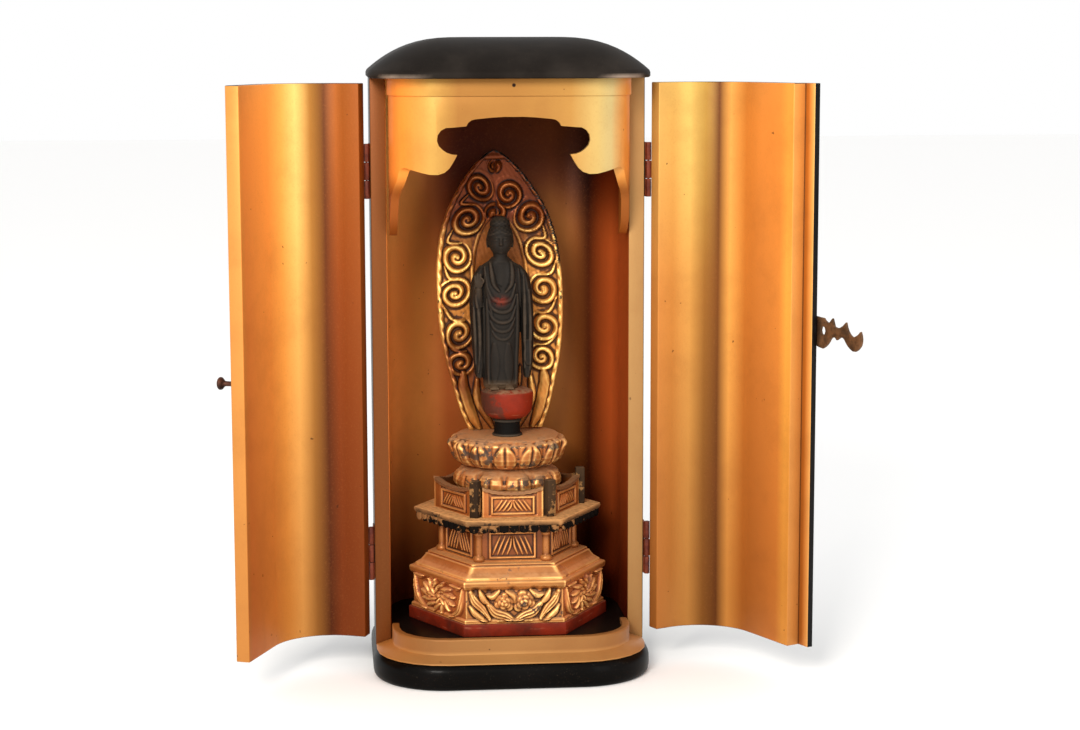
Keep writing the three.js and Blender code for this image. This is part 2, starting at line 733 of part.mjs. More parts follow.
// Ring of drooping petals under the seat, on a plain drum.
function lotusLower() {
  const petals = 12;
  const bulge = [
    [slabTop, 19, 0], [83.4, 19, 0], [86, 23.4, 1.2], [90, 25.2, 0.9], [93.8, 24.2, 0.8], [lotusJoin, 19, 0],
  ];
  return loft(bulge.map(([z, radius, wave]) => petalRing(petals, radius, wave, z)));
}

// Seat of upturned petals with a worn flat top.
function lotusUpper() {
  const petals = 16;
  const cup = [[lotusJoin, 18.5, 0], [99.4, 25.6, 0.9], [103.4, 29.4, 1.1], [107.4, 29.9, 1.2],
    [110.8, 28.2, 1.2], [seatTop, 25.6, 0]];
  return loft(cup.map(([z, radius, wave]) => petalRing(petals, radius, wave, z)));
}

// ---------- figure, cup and halo ----------
const cupAxis = new THREE.Vector2(0, -1.6);

function figureCup() {
  const profile = [[0, seatTop], [8.4, seatTop], [7, 118], [7.3, 120.6], [11.2, 123.4], [12.7, 129],
    [12.5, 133], [10.6, figureFoot], [0, figureFoot]];
  return turned(profile, 16).translate(cupAxis.x, cupAxis.y, 0);
}

const haloBottom = 112.2;
const haloHeight = 137.2;
const haloFront = 14.6;
const haloThickness = 3;
const haloLean = THREE.MathUtils.degToRad(2.2);

// Half outline of the pointed board, from foot to tip: [half width, height above the foot].
const haloHalf = [[18, 0], [21.8, 10], [25.2, 23], [28.4, 37], [30.3, 53], [30.7, 70], [30, 84], [28.2, 96],
  [24.6, 107], [19.4, 117], [12.4, 127], [5, 134.4], [0, haloHeight]];

function haloShape(inset) {
  const curve = spline(haloHalf, 13).map((point) => new THREE.Vector2(
    Math.max(point.x - inset, 0),
    Math.min(Math.max(point.y, inset), haloHeight - 1.5 * inset),
  ));
  const tip = curve.pop();
  const left = curve.map((point) => new THREE.Vector2(-point.x, point.y)).reverse();
  return new THREE.Shape([...curve, new THREE.Vector2(0, tip.y), ...left]);
}

// Scroll ridge of a cloud curl, winding in from its outer radius.
function cloudCurl(u, v, size, hand, start) {
  const turns = 1.25;
  const steps = 7;
  const path = Array.from({ length: steps + 1 }, (_, i) => {
    const t = i / steps;
    const angle = start + hand * turns * 2 * Math.PI * t;
    const radius = size * (1 - 0.86 * t);
    return [u + radius * Math.cos(angle), v + radius * Math.sin(angle)];
  });
  return raisedBand(path, 2, 1.7, steps);
}

// Curls as [across, up, radius, hand, start angle].
const curls = [
  [-20.2, 34, 5.6, 1, 1.2], [-21.4, 48.6, 6.4, 1, 1.4], [-21.6, 68.4, 6.6, 1, 1.5], [-20.6, 86, 6.6, 1, 1.2],
  [-14.2, 103.4, 7, 1, 0.9], [-7.4, 119, 5.8, 1, 0.6], [0.6, 129.6, 2.8, -1, 2.2], [5.8, 115.4, 6, -1, 2.4],
  [-1, 106.6, 4.6, 1, 0.4], [15.8, 103.6, 6.8, -1, 2.2], [20.4, 86, 6.6, -1, 1.9], [21.6, 68.4, 6.6, -1, 1.6],
  [20.6, 50, 6.4, -1, 1.7], [19.6, 34.6, 5.8, -1, 1.9],
];

function haloBoard() {
  const rimWidth = 2.4;
  const rimRise = 1.3;
  const flat = { steps: 1, bevelEnabled: false, curveSegments: arcSteps };
  const board = new THREE.ExtrudeGeometry(haloShape(0), { ...flat, depth: haloThickness })
    .rotateX(Math.PI / 2)
    .translate(0, haloThickness, 0);
  const rimShape = haloShape(0);
  rimShape.holes.push(new THREE.Path(haloShape(rimWidth).getPoints().reverse()));
  const rim = new THREE.ExtrudeGeometry(rimShape, { ...flat, depth: rimRise + 0.5 })
    .rotateX(Math.PI / 2)
    .translate(0, 0.5, 0);
  const ribs = [-1, 1].flatMap((side) => [
    raisedBand([[side * 15.4, 28], [side * 17, 18], [side * 13.6, 8], [side * 9.6, 2.6]], 2.6, 1.6, 4),
    raisedBand([[side * 20.6, 26], [side * 20.6, 17], [side * 17.4, 8], [side * 14.6, 2.6]], 2.4, 1.6, 4),
    raisedBand([[side * 8, 100], [side * 12.4, 86], [side * 14.6, 66], [side * 9, 26]], 1.8, 1.4, 5),
  ]);
  const scrolls = curls.map((curl) => cloudCurl(...curl));
  const leaning = join(board, rim, ...ribs, ...scrolls)
    .rotateY(-haloLean)
    .translate(0.6, haloFront, haloBottom);
  return cut(leaning, box(-beyond, beyond, 0, beyond, 0, seatTop));
}

// Standing robed figure. Stations up the robe: [height, half width, half depth, shift across].
const robeStations = [
  [0, 8.6, 5.6, 0.2], [3, 9.2, 6, 0.1], [12, 9, 6.2, 0.1], [24, 9.6, 6.6, 0.1], [36, 10.2, 6.8, 0],
  [46, 11, 6.8, 0], [54, 11.6, 6.4, 0], [59, 11.4, 5.8, 0], [62, 9.4, 4.8, 0], [64.4, 5, 4, 0],
  [66.4, 3.6, 3.4, 0],
];

// Levels of the robe. Between the first and last fold they are crests and troughs in turn, which
// sag across the front into U-shaped folds.
const robeLevels = [0, 3, 9, 15, 20, 24.5, 29, 33.5, 38, 42.5, 47, 51.5, 56, 60, 63, 66.4];
const firstFold = 20;
const lastFold = 56;

function robe() {
  const around = 16;
  const foldDepth = 0.6;
  const foldSag = 3;
  const station = (height, column) => {
    const next = robeStations.findIndex((entry) => entry[0] >= height);
    const [above, below] = [robeStations[next], robeStations[Math.max(next - 1, 0)]];
    const share = next === 0 ? 0 : (height - below[0]) / (above[0] - below[0]);
    return THREE.MathUtils.lerp(below[column], above[column], share);
  };
  return loft(robeLevels.map((height, level) => Array.from({ length: around }, (_, i) => {
    const angle = (2 * Math.PI * i) / around;
    const across = Math.cos(angle);
    const front = Math.max(-Math.sin(angle), 0);
    const folded = height >= firstFold && height <= lastFold;
    const crest = folded ? foldDepth * front * (level % 2 === 0 ? 1 : -1) : 0;
    const pleat = height < 10 ? 0.4 * Math.cos(8 * angle) : 0;
    const width = station(height, 1) + pleat;
    const depth = station(height, 2) + pleat + crest;
    return new THREE.Vector3(
      station(height, 3) + width * across,
      depth * Math.sin(angle),
      height - (folded ? foldSag * front * front : 0),
    );
  })));
}

// Limb or sleeve: elliptical sections [x, y, z, half width, half depth] from top to bottom or back.
function sleeve(sections, around = 7) {
  const rings = sections.map(([x, y, z, width, depth]) => Array.from({ length: around }, (_, i) => {
    const angle = (2 * Math.PI * i) / around;
    return new THREE.Vector3(x + width * Math.cos(angle), y + depth * Math.sin(angle), z);
  }));
  return loft(rings);
}

function egg(x, y, z, halfX, halfY, halfZ, segments = 8) {
  return new THREE.SphereGeometry(1, segments, Math.round(segments * 0.7))
    .rotateX(Math.PI / 2)
    .scale(halfX, halfY, halfZ)
    .translate(x, y, z);
}

function figure() {
  const raisedArm = sleeve([
    [-12.6, 0.8, 14.6, 1, 1.4], [-12.8, 0.6, 18, 2.4, 3.4], [-12.4, 0.2, 36, 3.5, 4.6],
    [-12, -0.2, 48, 3.6, 4.4], [-10.6, 0.2, 56, 3, 3.8], [-8.4, 0.4, 60.6, 1.6, 2.4],
  ]);
  const loweredArm = sleeve([
    [13.4, -0.4, 9.6, 1, 1.6], [13.6, -0.6, 12, 2.2, 3.4], [12.8, -0.4, 26, 3, 4.4],
    [12, 0.2, 48, 3, 4], [10.4, 0.2, 56.4, 2.8, 3.8], [8.4, 0.4, 60.6, 1.6, 2.4],
  ]);
  const head = [
    sleeve([[0, 0.2, 62, 3.6, 3.4], [0, -0.2, 66, 3, 3], [0, -0.4, 70.5, 3.1, 3.2]]),
    egg(0, -0.4, 75.2, 5.3, 5.6, 7.6, 9),
    egg(0, 0.3, 80.4, 4.2, 4.4, 3.9),
    egg(-5.2, 0.4, 74, 0.9, 1.4, 3, 6),
    egg(5.2, 0.4, 74, 0.9, 1.4, 3, 6),
    egg(0, -5.8, 73.6, 0.8, 0.9, 1.9, 6),
  ];
  const raisedHand = sleeve([
    [-12.8, -4.6, 44, 2, 1.9], [-12.9, -5.2, 50, 1.7, 1.6], [-13, -5.4, 53, 2, 1.2],
    [-13, -5.5, 58, 1.8, 0.9],
  ], 6);
  const loweredHand = egg(12.8, -4, 21, 1.7, 1.9, 3.4, 6);
  const feet = [-3.6, 3.8].map((x) => egg(x, -5, 1, 2.6, 3.4, 1.6, 6));
  const body = join(robe(), raisedArm, loweredArm, ...head, raisedHand, loweredHand, ...feet);
  const above = box(-beyond, beyond, -beyond, beyond, 0, 2 * beyond);
  return common(body, above).translate(-3, -1, figureFoot);
}

// ---------- assembly ----------
addPiece('base_plinth', basePlinth(), blackLacquer);
addPiece('cabinet_shell', cabinetShell(), goldLacquer);
addPiece('threshold_sill', thresholdSill(), goldLacquer);
addPiece('floor_panel', floorPanel(), blackLacquer);
addPiece('top_rail', topRail(), goldLacquer);
addPiece('valance', valance(), goldLacquer);
addPiece('cap', cap(), blackLacquer);

const leftDoor = hungGroup(-1, leftOpening);
const rightDoor = hungGroup(1, rightOpening);
addPiece('left_door_panel', mirrored(doorLeaf()), goldLacquer, leftDoor);
addPiece('right_door_panel', doorLeaf(), goldLacquer, rightDoor);
addPiece('closing_strip', closingStrip(), blackLacquer, rightDoor);
addPiece('door_knob', doorKnob(), oldBronze, leftDoor);
addPiece('latch_hook', latchHook(), oldBronze, rightDoor);
addPiece('latch_rivet', latchRivet(), oldBronze, rightDoor);
Object.entries(hingeBottoms).forEach(([level, bottom]) => {
  hinge(`left_${level}_hinge`, -1, bottom, leftDoor);
  hinge(`right_${level}_hinge`, 1, bottom, rightDoor);
});

addPiece('footing_plate', hexTier([[floorTop, 48.8], [26.9, 48.8]]), redLacquer);
addPiece('carved_plinth', carvedPlinth(), carvedGold);
addPiece('step_moulding', stepMoulding(), carvedGold);
addPiece('dado', dado(), carvedGold);
addPiece('hex_slab', hexSlab(), darkWood);
['front', 'front_right', 'back_right', 'back', 'back_left', 'front_left'].forEach((side, n) => {
  addPiece(`gallery_panel_${side}`, galleryPanel(n), carvedGold);
});
// The post of the left corner is lost.
const postAngles = { front_left: 240, front_right: 300, right: 0, back_right: 60, back_left: 120 };
Object.entries(postAngles).forEach(([corner, angle]) => {
  addPiece(`gallery_post_${corner}`, galleryPost(angle, 94.2), darkWood);
});
addPiece('lotus_lower', lotusLower(), carvedGold);
addPiece('lotus_upper', lotusUpper(), carvedGold);
addPiece('figure_cup', figureCup(), redLacquer);
addPiece('halo_board', haloBoard(), carvedGold);
addPiece('standing_figure', figure(), darkWood);

export default cabinet;
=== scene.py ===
import json
import math
import bpy
import bmesh
import numpy as np
from mathutils import Matrix, Vector


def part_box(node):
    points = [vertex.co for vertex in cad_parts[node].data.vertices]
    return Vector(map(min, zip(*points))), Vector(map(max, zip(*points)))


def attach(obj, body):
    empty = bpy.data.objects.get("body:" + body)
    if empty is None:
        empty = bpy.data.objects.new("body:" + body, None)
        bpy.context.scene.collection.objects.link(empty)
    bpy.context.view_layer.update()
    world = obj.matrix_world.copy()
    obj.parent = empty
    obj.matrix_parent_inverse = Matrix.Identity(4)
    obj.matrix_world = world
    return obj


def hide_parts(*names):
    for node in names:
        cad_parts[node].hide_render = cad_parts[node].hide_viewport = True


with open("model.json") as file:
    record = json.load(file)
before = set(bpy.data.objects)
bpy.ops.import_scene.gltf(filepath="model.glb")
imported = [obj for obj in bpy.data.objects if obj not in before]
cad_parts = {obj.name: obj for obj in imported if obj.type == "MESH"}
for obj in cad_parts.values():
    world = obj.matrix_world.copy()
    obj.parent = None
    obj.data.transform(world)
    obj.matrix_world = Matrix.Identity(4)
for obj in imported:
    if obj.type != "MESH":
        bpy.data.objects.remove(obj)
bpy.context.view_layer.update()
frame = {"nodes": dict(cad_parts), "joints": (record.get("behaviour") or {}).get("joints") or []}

mm = 0.001
joints = {joint["name"]: joint for joint in frame["joints"]}


class Shade:
    # one socket; arithmetic on it adds Math nodes
    def __init__(self, finish, socket):
        self.finish, self.socket = finish, socket

    def maths(self, operation, *values):
        return self.finish.node("ShaderNodeMath", {"operation": operation}, dict(enumerate(values)))

    def __add__(self, other):
        return self.maths("ADD", self, other)

    def __sub__(self, other):
        return self.maths("SUBTRACT", self, other)

    def __rsub__(self, other):
        return self.maths("SUBTRACT", other, self)

    def __mul__(self, other):
        return self.maths("MULTIPLY", self, other)

    __radd__ = __add__
    __rmul__ = __mul__

    def between(self, low, high):
        # 0 below low, 1 above high, smooth in between
        return self.finish.node("ShaderNodeMapRange", {"interpolation_type": "SMOOTHSTEP"},
                                {"Value": self, "From Min": low, "From Max": high})


class Finish:
    # one material: fixed values go straight on the shader's sockets
    def __init__(self, name, **fixed):
        self.material = bpy.data.materials.new(name)
        self.material.use_nodes = True
        self.tree = self.material.node_tree
        self.shader = self.tree.nodes["Principled BSDF"]
        for socket, value in fixed.items():
            self.shader.inputs[socket.replace("_", " ")].default_value = value
        self.place = self.node("ShaderNodeTexCoord", out="Object")

    def node(self, kind, settings=None, sockets=None, out=0):
        made = self.tree.nodes.new(kind)
        for key, value in (settings or {}).items():
            if key == "stops":
                ramp = made.color_ramp
                while len(ramp.elements) < len(value):
                    ramp.elements.new(0.5)
                for element, (position, color) in zip(ramp.elements, value):
                    element.position, element.color = position, (*color, 1)
            else:
                setattr(made, key, value)
        for key, value in (sockets or {}).items():
            self.feed(made.inputs[key], value)
        return Shade(self, made.outputs[out])

    def feed(self, socket, value):
        if isinstance(value, Shade):
            self.tree.links.new(value.socket, socket)
        else:
            socket.default_value = value

    def set(self, **surface):
        for socket, value in surface.items():
            self.feed(self.shader.inputs[socket.replace("_", " ")], value)
        return self.material

    def noise(self, scale, detail=4, rough=0.55, stretch=(1, 1, 1)):
        place = self.place
        if stretch != (1, 1, 1):
            place = self.node("ShaderNodeMapping", sockets={"Vector": place, "Scale": stretch})
        return self.node("ShaderNodeTexNoise",
                         sockets={"Vector": place, "Scale": scale, "Detail": detail, "Roughness": rough})

    def mix(self, factor, first, second, blend="MIX"):
        first, second = [c if isinstance(c, Shade) else (*c, 1) for c in (first, second)]
        return self.node("ShaderNodeMix", {"data_type": "RGBA", "blend_type": blend, "clamp_factor": True},
                         {0: factor, 6: first, 7: second}, out=2)

    def over(self, base, *layers):
        # each layer is (mask, colour) or (mask, colour, blend), laid on what is there
        for mask, color, *blend in layers:
            base = self.mix(mask, base, srgb(*color), *blend)
        return base

    def ramp(self, share, stops):
        # stops are (share, red, green, blue)
        stops = [(at, srgb(*color)) for at, *color in stops]
        return self.node("ShaderNodeValToRGB", {"stops": stops}, {"Fac": share})

    def own(self, name):
        # a value kept on the piece's own mesh
        return self.node("ShaderNodeAttribute", {"attribute_name": name}, out="Fac")

    def facingUp(self):
        normal = self.node("ShaderNodeNewGeometry", out="Normal")
        return self.node("ShaderNodeSeparateXYZ", sockets={0: normal}, out="Z")

    def axis(self, letter):
        return self.node("ShaderNodeSeparateXYZ", sockets={0: self.place}, out=letter)

    def bump(self, height, depth, strength=1.0):
        return self.node("ShaderNodeBump",
                         sockets={"Height": height, "Distance": depth, "Strength": strength})


def srgb(red, green, blue):
    return tuple(((c / 255 + 0.055) / 1.055) ** 2.4 if c > 10 else c / 3294.6 for c in (red, green, blue))


def newPiece(name, mesh, body, finishes):
    # the piece keeps its body's name until settle
    for material in finishes:
        mesh.materials.append(material)
    piece = bpy.data.objects.new(name, mesh)
    bpy.context.scene.collection.objects.link(piece)
    piece["rides"] = body
    return piece


def makePiece(name, points, faces, body, finishes, smooth=40, faceFinish=None):
    mesh = bpy.data.meshes.new(name)
    mesh.from_pydata((np.asarray(points, float) * mm).tolist(), [], faces)
    mesh.validate()
    if faceFinish is not None:
        mesh.polygons.foreach_set("material_index", faceFinish)
    mesh.shade_smooth()
    mesh.set_sharp_from_angle(angle=math.radians(smooth))
    return newPiece(name, mesh, body, finishes)


def settle(piece, slot, *nodes):
    # last step of every piece: body and the solids it stands for
    body = piece["rides"]
    del piece["rides"]
    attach(piece, body)
    if nodes:
        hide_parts(*nodes)
    return piece


def evaluated(piece):
    # bakes the modifiers into the mesh and drops them
    graph = bpy.context.evaluated_depsgraph_get()
    graph.update()
    mesh = bpy.data.meshes.new_from_object(piece.evaluated_get(graph))
    piece.modifiers.clear()
    piece.data = mesh
    return piece


def bevelled(piece, width, segments=2, angle=35):
    edge = piece.modifiers.new("edge", "BEVEL")
    edge.width = width * mm
    edge.segments = segments
    edge.limit_method = "ANGLE"
    edge.angle_limit = math.radians(angle)
    edge.use_clamp_overlap = True
    evaluated(piece)
    piece.data.shade_smooth()
    piece.data.set_sharp_from_angle(angle=math.radians(50))
    return piece


def solidCopy(node, name, body, finishes, dissolve=1.0):
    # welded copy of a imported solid, flat faces made whole again
    bm = bmesh.new()
    bm.from_mesh(frame["nodes"][node].data)
    bmesh.ops.remove_doubles(bm, verts=bm.verts, dist=2e-6)
    bmesh.ops.dissolve_limit(bm, angle_limit=math.radians(dissolve), verts=bm.verts, edges=bm.edges)
    mesh = bpy.data.meshes.new(name)
    bm.to_mesh(mesh)
    bm.free()
    return newPiece(name, mesh, body, finishes)


def clamp(values):
    return np.clip(values, 0, 1)


def dome(share):
    # height of a half round, 1 in the middle and 0 from the edge on
    return np.sqrt(clamp(1 - share ** 2))


def swellOf(share):
    # soft hump about 0
    return np.exp(-share ** 2)


def keep(piece, name, values):
    attribute = piece.data.attributes.new(name, "FLOAT", "POINT")
    attribute.data.foreach_set("value", np.asarray(values, np.float32).ravel())


def pointsOf(piece):
    # where a piece's points are, millimetres
    return np.array([v.co for v in piece.data.vertices]) / mm


def movePoints(piece, points):
    piece.data.vertices.foreach_set("co", (points * mm).ravel())
    piece.data.update()


def closedFaces(rows, cols):
    # quads between rings of points, and a cap on the first and last ring
    faces = []
    for a in range(0, (rows - 1) * cols, cols):
        faces += [(a + i, a + (i + 1) % cols, a + (i + 1) % cols + cols, a + i + cols) for i in range(cols)]
    return faces + [tuple(range(cols))[::-1], tuple(range((rows - 1) * cols, rows * cols))]


def stack(name, rings, body, finishes, smooth=40, faceFinish=None):
    # closed solid from rings that are all counter-clockwise from above, lowest first
    rings = np.asarray(rings, float)
    faces = closedFaces(*rings.shape[:2])
    return makePiece(name, rings.reshape(-1, 3), faces, body, finishes, smooth, faceFinish)


def circle(radius, count):
    turns = [2 * math.pi * i / count for i in range(count)]
    return [(radius * math.cos(a), radius * math.sin(a)) for a in turns]


def roundedRing(halfX, halfY, radius, z, inset=0, steps=20):
    x, y, r = halfX - inset, halfY - inset, max(radius - inset, 0.5)
    ring = []
    for sideX, sideY, start in ((1, -1, 270), (1, 1, 0), (-1, 1, 90), (-1, -1, 180)):
        for i in range(steps + 1):
            angle = math.radians(start + 90 * i / steps)
            ring.append((sideX * (x - r) + r * math.cos(angle), sideY * (y - r) + r * math.sin(angle), z))
    return ring


def curve(points, count):
    # smooth line through points (Catmull-Rom), evenly spaced in parameter
    points = np.asarray(points, float)
    padded = np.vstack([2 * points[0] - points[1], points, 2 * points[-1] - points[-2]])
    at = np.linspace(0, len(points) - 1, count)
    index = np.minimum(at.astype(int), len(points) - 2)
    t = (at - index)[:, None]
    p0, p1, p2, p3 = (padded[index + k] for k in range(4))
    return 0.5 * (2 * p1 + (p2 - p0) * t + (2 * p0 - 5 * p1 + 4 * p2 - p3) * t ** 2
                  + (3 * p1 - p0 - 3 * p2 + p3) * t ** 3)


def pointsAndNormals(mesh):
    count = len(mesh.vertices)
    points, normals = np.empty(count * 3), np.empty(count * 3)
    mesh.vertices.foreach_get("co", points)
    mesh.vertex_normals.foreach_get("vector", normals)
    return points.reshape(-1, 3) / mm, normals.reshape(-1, 3)


def hollowOf(piece, passes=3):
    # how sunk each point lies against its neighbours: above 0 in recesses, below 0 on ridges
    mesh = piece.data
    points, normals = pointsAndNormals(mesh)
    count = len(points)
    edges = np.empty(len(mesh.edges) * 2, int)
    mesh.edges.foreach_get("vertices", edges)
    a, b = edges.reshape(-1, 2).T
    degree = np.maximum(np.bincount(a, minlength=count) + np.bincount(b, minlength=count), 1)

    def spread(values):
        total = np.bincount(a, values[b], count) + np.bincount(b, values[a], count)
        return total / degree
    mean = points
    for _ in range(passes + 1):
        mean = np.stack([spread(mean[:, k]) for k in range(3)], 1)
    depth = np.einsum("ij,ij->i", mean - points, normals)
    depth = (depth + spread(depth)) / 2
    keep(piece, "hollow", depth)
    return piece


def strokes(u, v, lines):
    # height field of rounded ridges; each line is (points, width, height), and True where it is grooved
    field = np.zeros_like(u)
    for points, width, height, *grooved in lines:
        path = curve(points, max(12, 7 * len(points)))
        best = np.full(u.shape, 1e9)
        along = np.zeros_like(u)
        for i in range(len(path) - 1):
            ax, ay = path[i]
            dx, dy = path[i + 1] - path[i]
            length = dx * dx + dy * dy + 1e-9
            t = clamp(((u - ax) * dx + (v - ay) * dy) / length)
            away = np.hypot(u - ax - t * dx, v - ay - t * dy)
            near = away < best
            best = np.where(near, away, best)
            along = np.where(near, (i + t) / (len(path) - 1), along)
        half = width / 2 * (0.35 + 0.65 * np.sin(np.pi * clamp(along * 0.92 + 0.06)))
        across = clamp(best / np.maximum(half, 0.05))
        ridge = height * np.sqrt(1 - across ** 2) * (0.6 + 0.4 * half / (width / 2))
        if grooved:
            ridge *= 1 - 0.22 * (0.5 - 0.5 * np.cos(2 * np.pi * across * 1.5))
        field = np.maximum(field, ridge)
    return field


def bothSides(lines):
    # the lines for strokes and their mirror images
    return lines + [([(-x, y) for x, y in points], *rest) for points, *rest in lines]


def doorTurn(side):
    # gives the function that turns points of the closed door to their place at rest, millimetres
    joint = joints["left_door_hinge" if side < 0 else "right_door_hinge"]
    angle = -joint["range_deg"][0] * (-1 if side < 0 else 1)
    pivot = np.array(joint["pos_m"]) / mm
    c, s = math.cos(math.radians(angle)), math.sin(math.radians(angle))

    def turn(points):
        points = np.asarray(points, float)
        flat = points - pivot
        return np.stack([c * flat[..., 0] - s * flat[..., 1] + pivot[0],
                         s * flat[..., 0] + c * flat[..., 1] + pivot[1], points[..., 2]], -1)
    return turn


print("helpers ready")


# lacquers
def lacquerBlack(name, coat, specular, rough, low=(8, 6, 5), high=(17, 14, 12)):
    f = Finish(name, Coat_Weight=coat, Coat_Roughness=0.08, Specular_IOR_Level=specular)
    cloud = f.noise(28, 5)
    dust = f.noise(1400, 2).between(0.62, 0.74) * f.noise(90, 3).between(0.4, 0.65)
    # painted highlight: where the piece's own value is set, on the cap rim's front corners, the black is
    # painted light grey-brown
    worn = f.own("worn") * (0.4 + 0.6 * cloud.between(0.4, 0.6))
    base = f.over(srgb(*low), (cloud.between(0.35, 0.7), high), (dust * 0.3, (84, 74, 62)),
        (worn, (138, 122, 108)))
    hair = f.noise(60, 3, stretch=(1, 1, 14)).between(0.66, 0.74)
    return f.set(Base_Color=base, Roughness=rough + 0.16 * cloud + 0.2 * dust,
                 Normal=f.bump(cloud + 0.3 * hair, 0.0002, 0.25))


# heights in mm of painted light: where the higher painted bands take over, where the painted shade on the
# valance returns ends, the painted valance shadow inside, and the painted shade above the sill's lip
paintedLightHeights = {"upper": (170, 270), "shadeEnds": (230, 242), "valanceShadow": (198, 238), "valanceShadowShare": (0.3, 0.42),
           "lip": (15.8, 17.2)}


def lacquerGold(name, stops, low, high, bottomShade=0.5, metallic=0.3, valanceShadow=0.0, lip=0.0, mark=None, top=None):
    # painted reflection and shadow bands, laid on the gold's colour, run up the piece: "along" is the share
    # of the way along its plan, 0 to 1
    f = Finish(name, Coat_Weight=0.03, Coat_Roughness=0.25, Specular_IOR_Level=0.12)
    height = f.axis("Z")

    def above(key):
        return height.between(*(z * mm for z in paintedLightHeights[key]))
    sway = f.noise(7, 2, stretch=(1, 1, 0.6)) - 0.5
    share = f.own("along") + 0.018 * sway
    bands = f.ramp(share, stops)
    if top:
        bands = f.mix(above("upper"), bands, f.ramp(share, top))
    # painted shade on the valance's side returns, up to below its top
    tone = f.own("tone") * (1 - above("shadeEnds"))
    cloud = f.noise(38, 6, 0.62)
    grain = f.noise(1100, 3)
    # painted shade: darker toward the bottom, from low to high in mm
    light = (1 - bottomShade) + bottomShade * height.between(low * mm, high * mm)
    # painted shadow of the valance on the upper back wall inside
    if valanceShadow:
        light = light * (1 - valanceShadow * above("valanceShadow") * f.own("along").between(*paintedLightHeights["valanceShadowShare"]))
    # painted shade on the sill's upper step, above its lip
    if lip:
        light = light * (1 - lip * above("lip"))
    speck = f.noise(260, 2).between(0.74, 0.77)
    # the two multiplied layers are painted shade
    base = f.over(bands, (tone, (146, 128, 116), "MULTIPLY"), (1 - light, (120, 56, 20), "MULTIPLY"),
        (cloud.between(0.42, 0.72) * 0.16, (110, 56, 20)), (grain.between(0.5, 0.75) * 0.12, (150, 92, 44)),
        (speck * 0.7, (60, 30, 12)))
    if mark:
        dx, dz = f.axis("X") - mark[0] * mm, height - mark[1] * mm
        base = f.over(base, (1 - (dx * dx + dz * dz).between(0.35e-6, 1.1e-6), (34, 16, 8)))
    base = f.over(base, (f.noise(120, 4, stretch=(1, 1, 0.08)).between(0.62, 0.8) * 0.1, (96, 50, 22)))
    return f.set(Base_Color=base, Metallic=metallic, Roughness=0.36 + 0.14 * cloud + 0.25 * speck,
                 Normal=f.bump(grain + 0.5 * cloud, 0.0001, 0.3))


# colour bands along each door's plan: the gold's colour with painted reflections and highlights in it; the
# Top lists hold the same painted bands higher up
leftGoldAndReflections = [(0, 204, 129, 56), (0.06, 218, 127, 57), (0.38, 255, 162, 72), (0.52, 246, 165, 73),
    (0.62, 238, 174, 88), (0.71, 160, 108, 44), (0.79, 90, 42, 8), (0.86, 128, 59, 12), (1, 134, 66, 18)]
rightGoldAndReflections = [(0, 246, 170, 72), (0.05, 250, 176, 74), (0.12, 230, 145, 63), (0.3, 211, 132, 58),
    (0.44, 199, 122, 49), (0.55, 226, 159, 74), (0.62, 104, 58, 14), (0.7, 137, 89, 31),
    (0.79, 202, 146, 70), (1, 200, 132, 62)]
leftGoldAndReflectionsHigh = [(0, 200, 124, 54), (0.06, 212, 128, 57), (0.38, 255, 162, 72), (0.52, 250, 178, 84),
    (0.62, 242, 196, 110), (0.71, 156, 106, 44), (0.79, 80, 39, 6), (0.86, 134, 70, 14), (1, 128, 66, 16)]
rightGoldAndReflectionsHigh = [(0, 246, 150, 62), (0.05, 246, 152, 62), (0.12, 224, 138, 58), (0.3, 211, 132, 58),
    (0.44, 194, 118, 47), (0.55, 216, 152, 74), (0.62, 82, 42, 8), (0.7, 146, 111, 45),
    (0.79, 206, 170, 90), (1, 198, 153, 80)]
goldLeft = lacquerGold("goldLeftDoor", leftGoldAndReflections, 20, 280, top=leftGoldAndReflectionsHigh)
goldRight = lacquerGold("goldRightDoor", rightGoldAndReflections, 20, 280, top=rightGoldAndReflectionsHigh)
# inside bands: the gold's colour with painted highlights in the curved corners and painted shadows; the
# darkest band, at 0.71, is the halo's painted shadow on the back wall
insideGoldLightAndShadow = [(0, 246, 142, 62), (0.16, 228, 128, 55), (0.24, 232, 146, 70), (0.31, 193, 122, 55),
    (0.38, 146, 74, 28), (0.5, 150, 84, 36), (0.62, 168, 108, 47), (0.68, 120, 66, 20), (0.71, 68, 25, 5),
    (0.78, 188, 87, 36), (1, 156, 67, 24)]
innerTop = [(0, 246, 142, 62), (0.12, 250, 156, 72), (0.2, 255, 192, 104), (0.27, 236, 160, 84),
    (0.34, 150, 82, 34), (0.42, 124, 60, 24), (0.62, 158, 100, 42), (0.68, 112, 62, 18), (0.71, 60, 22, 5),
    (0.78, 188, 87, 36), (1, 156, 67, 24)]
goldInner = lacquerGold("goldInside", insideGoldLightAndShadow, 14, 118, 0.95, valanceShadow=0.85, top=innerTop)
# valance and top rail: the gold's colour with painted reflection bands
frontGoldAndReflections = [(0, 214, 124, 50), (0.1, 226, 134, 54), (0.17, 232, 146, 60), (0.26, 184, 142, 70),
    (0.34, 154, 106, 50), (0.5, 154, 106, 50), (0.66, 168, 122, 60), (0.74, 188, 158, 94),
    (0.79, 192, 174, 118), (0.86, 214, 140, 62), (1, 226, 134, 54)]
goldFront = lacquerGold("goldFront", frontGoldAndReflections, -60, 0, 0.2, mark=(0, 281.2))
goldEdge = lacquerGold("goldEdge", [(0, 202, 136, 66), (1, 210, 150, 80)], 10, 280, 0.3)
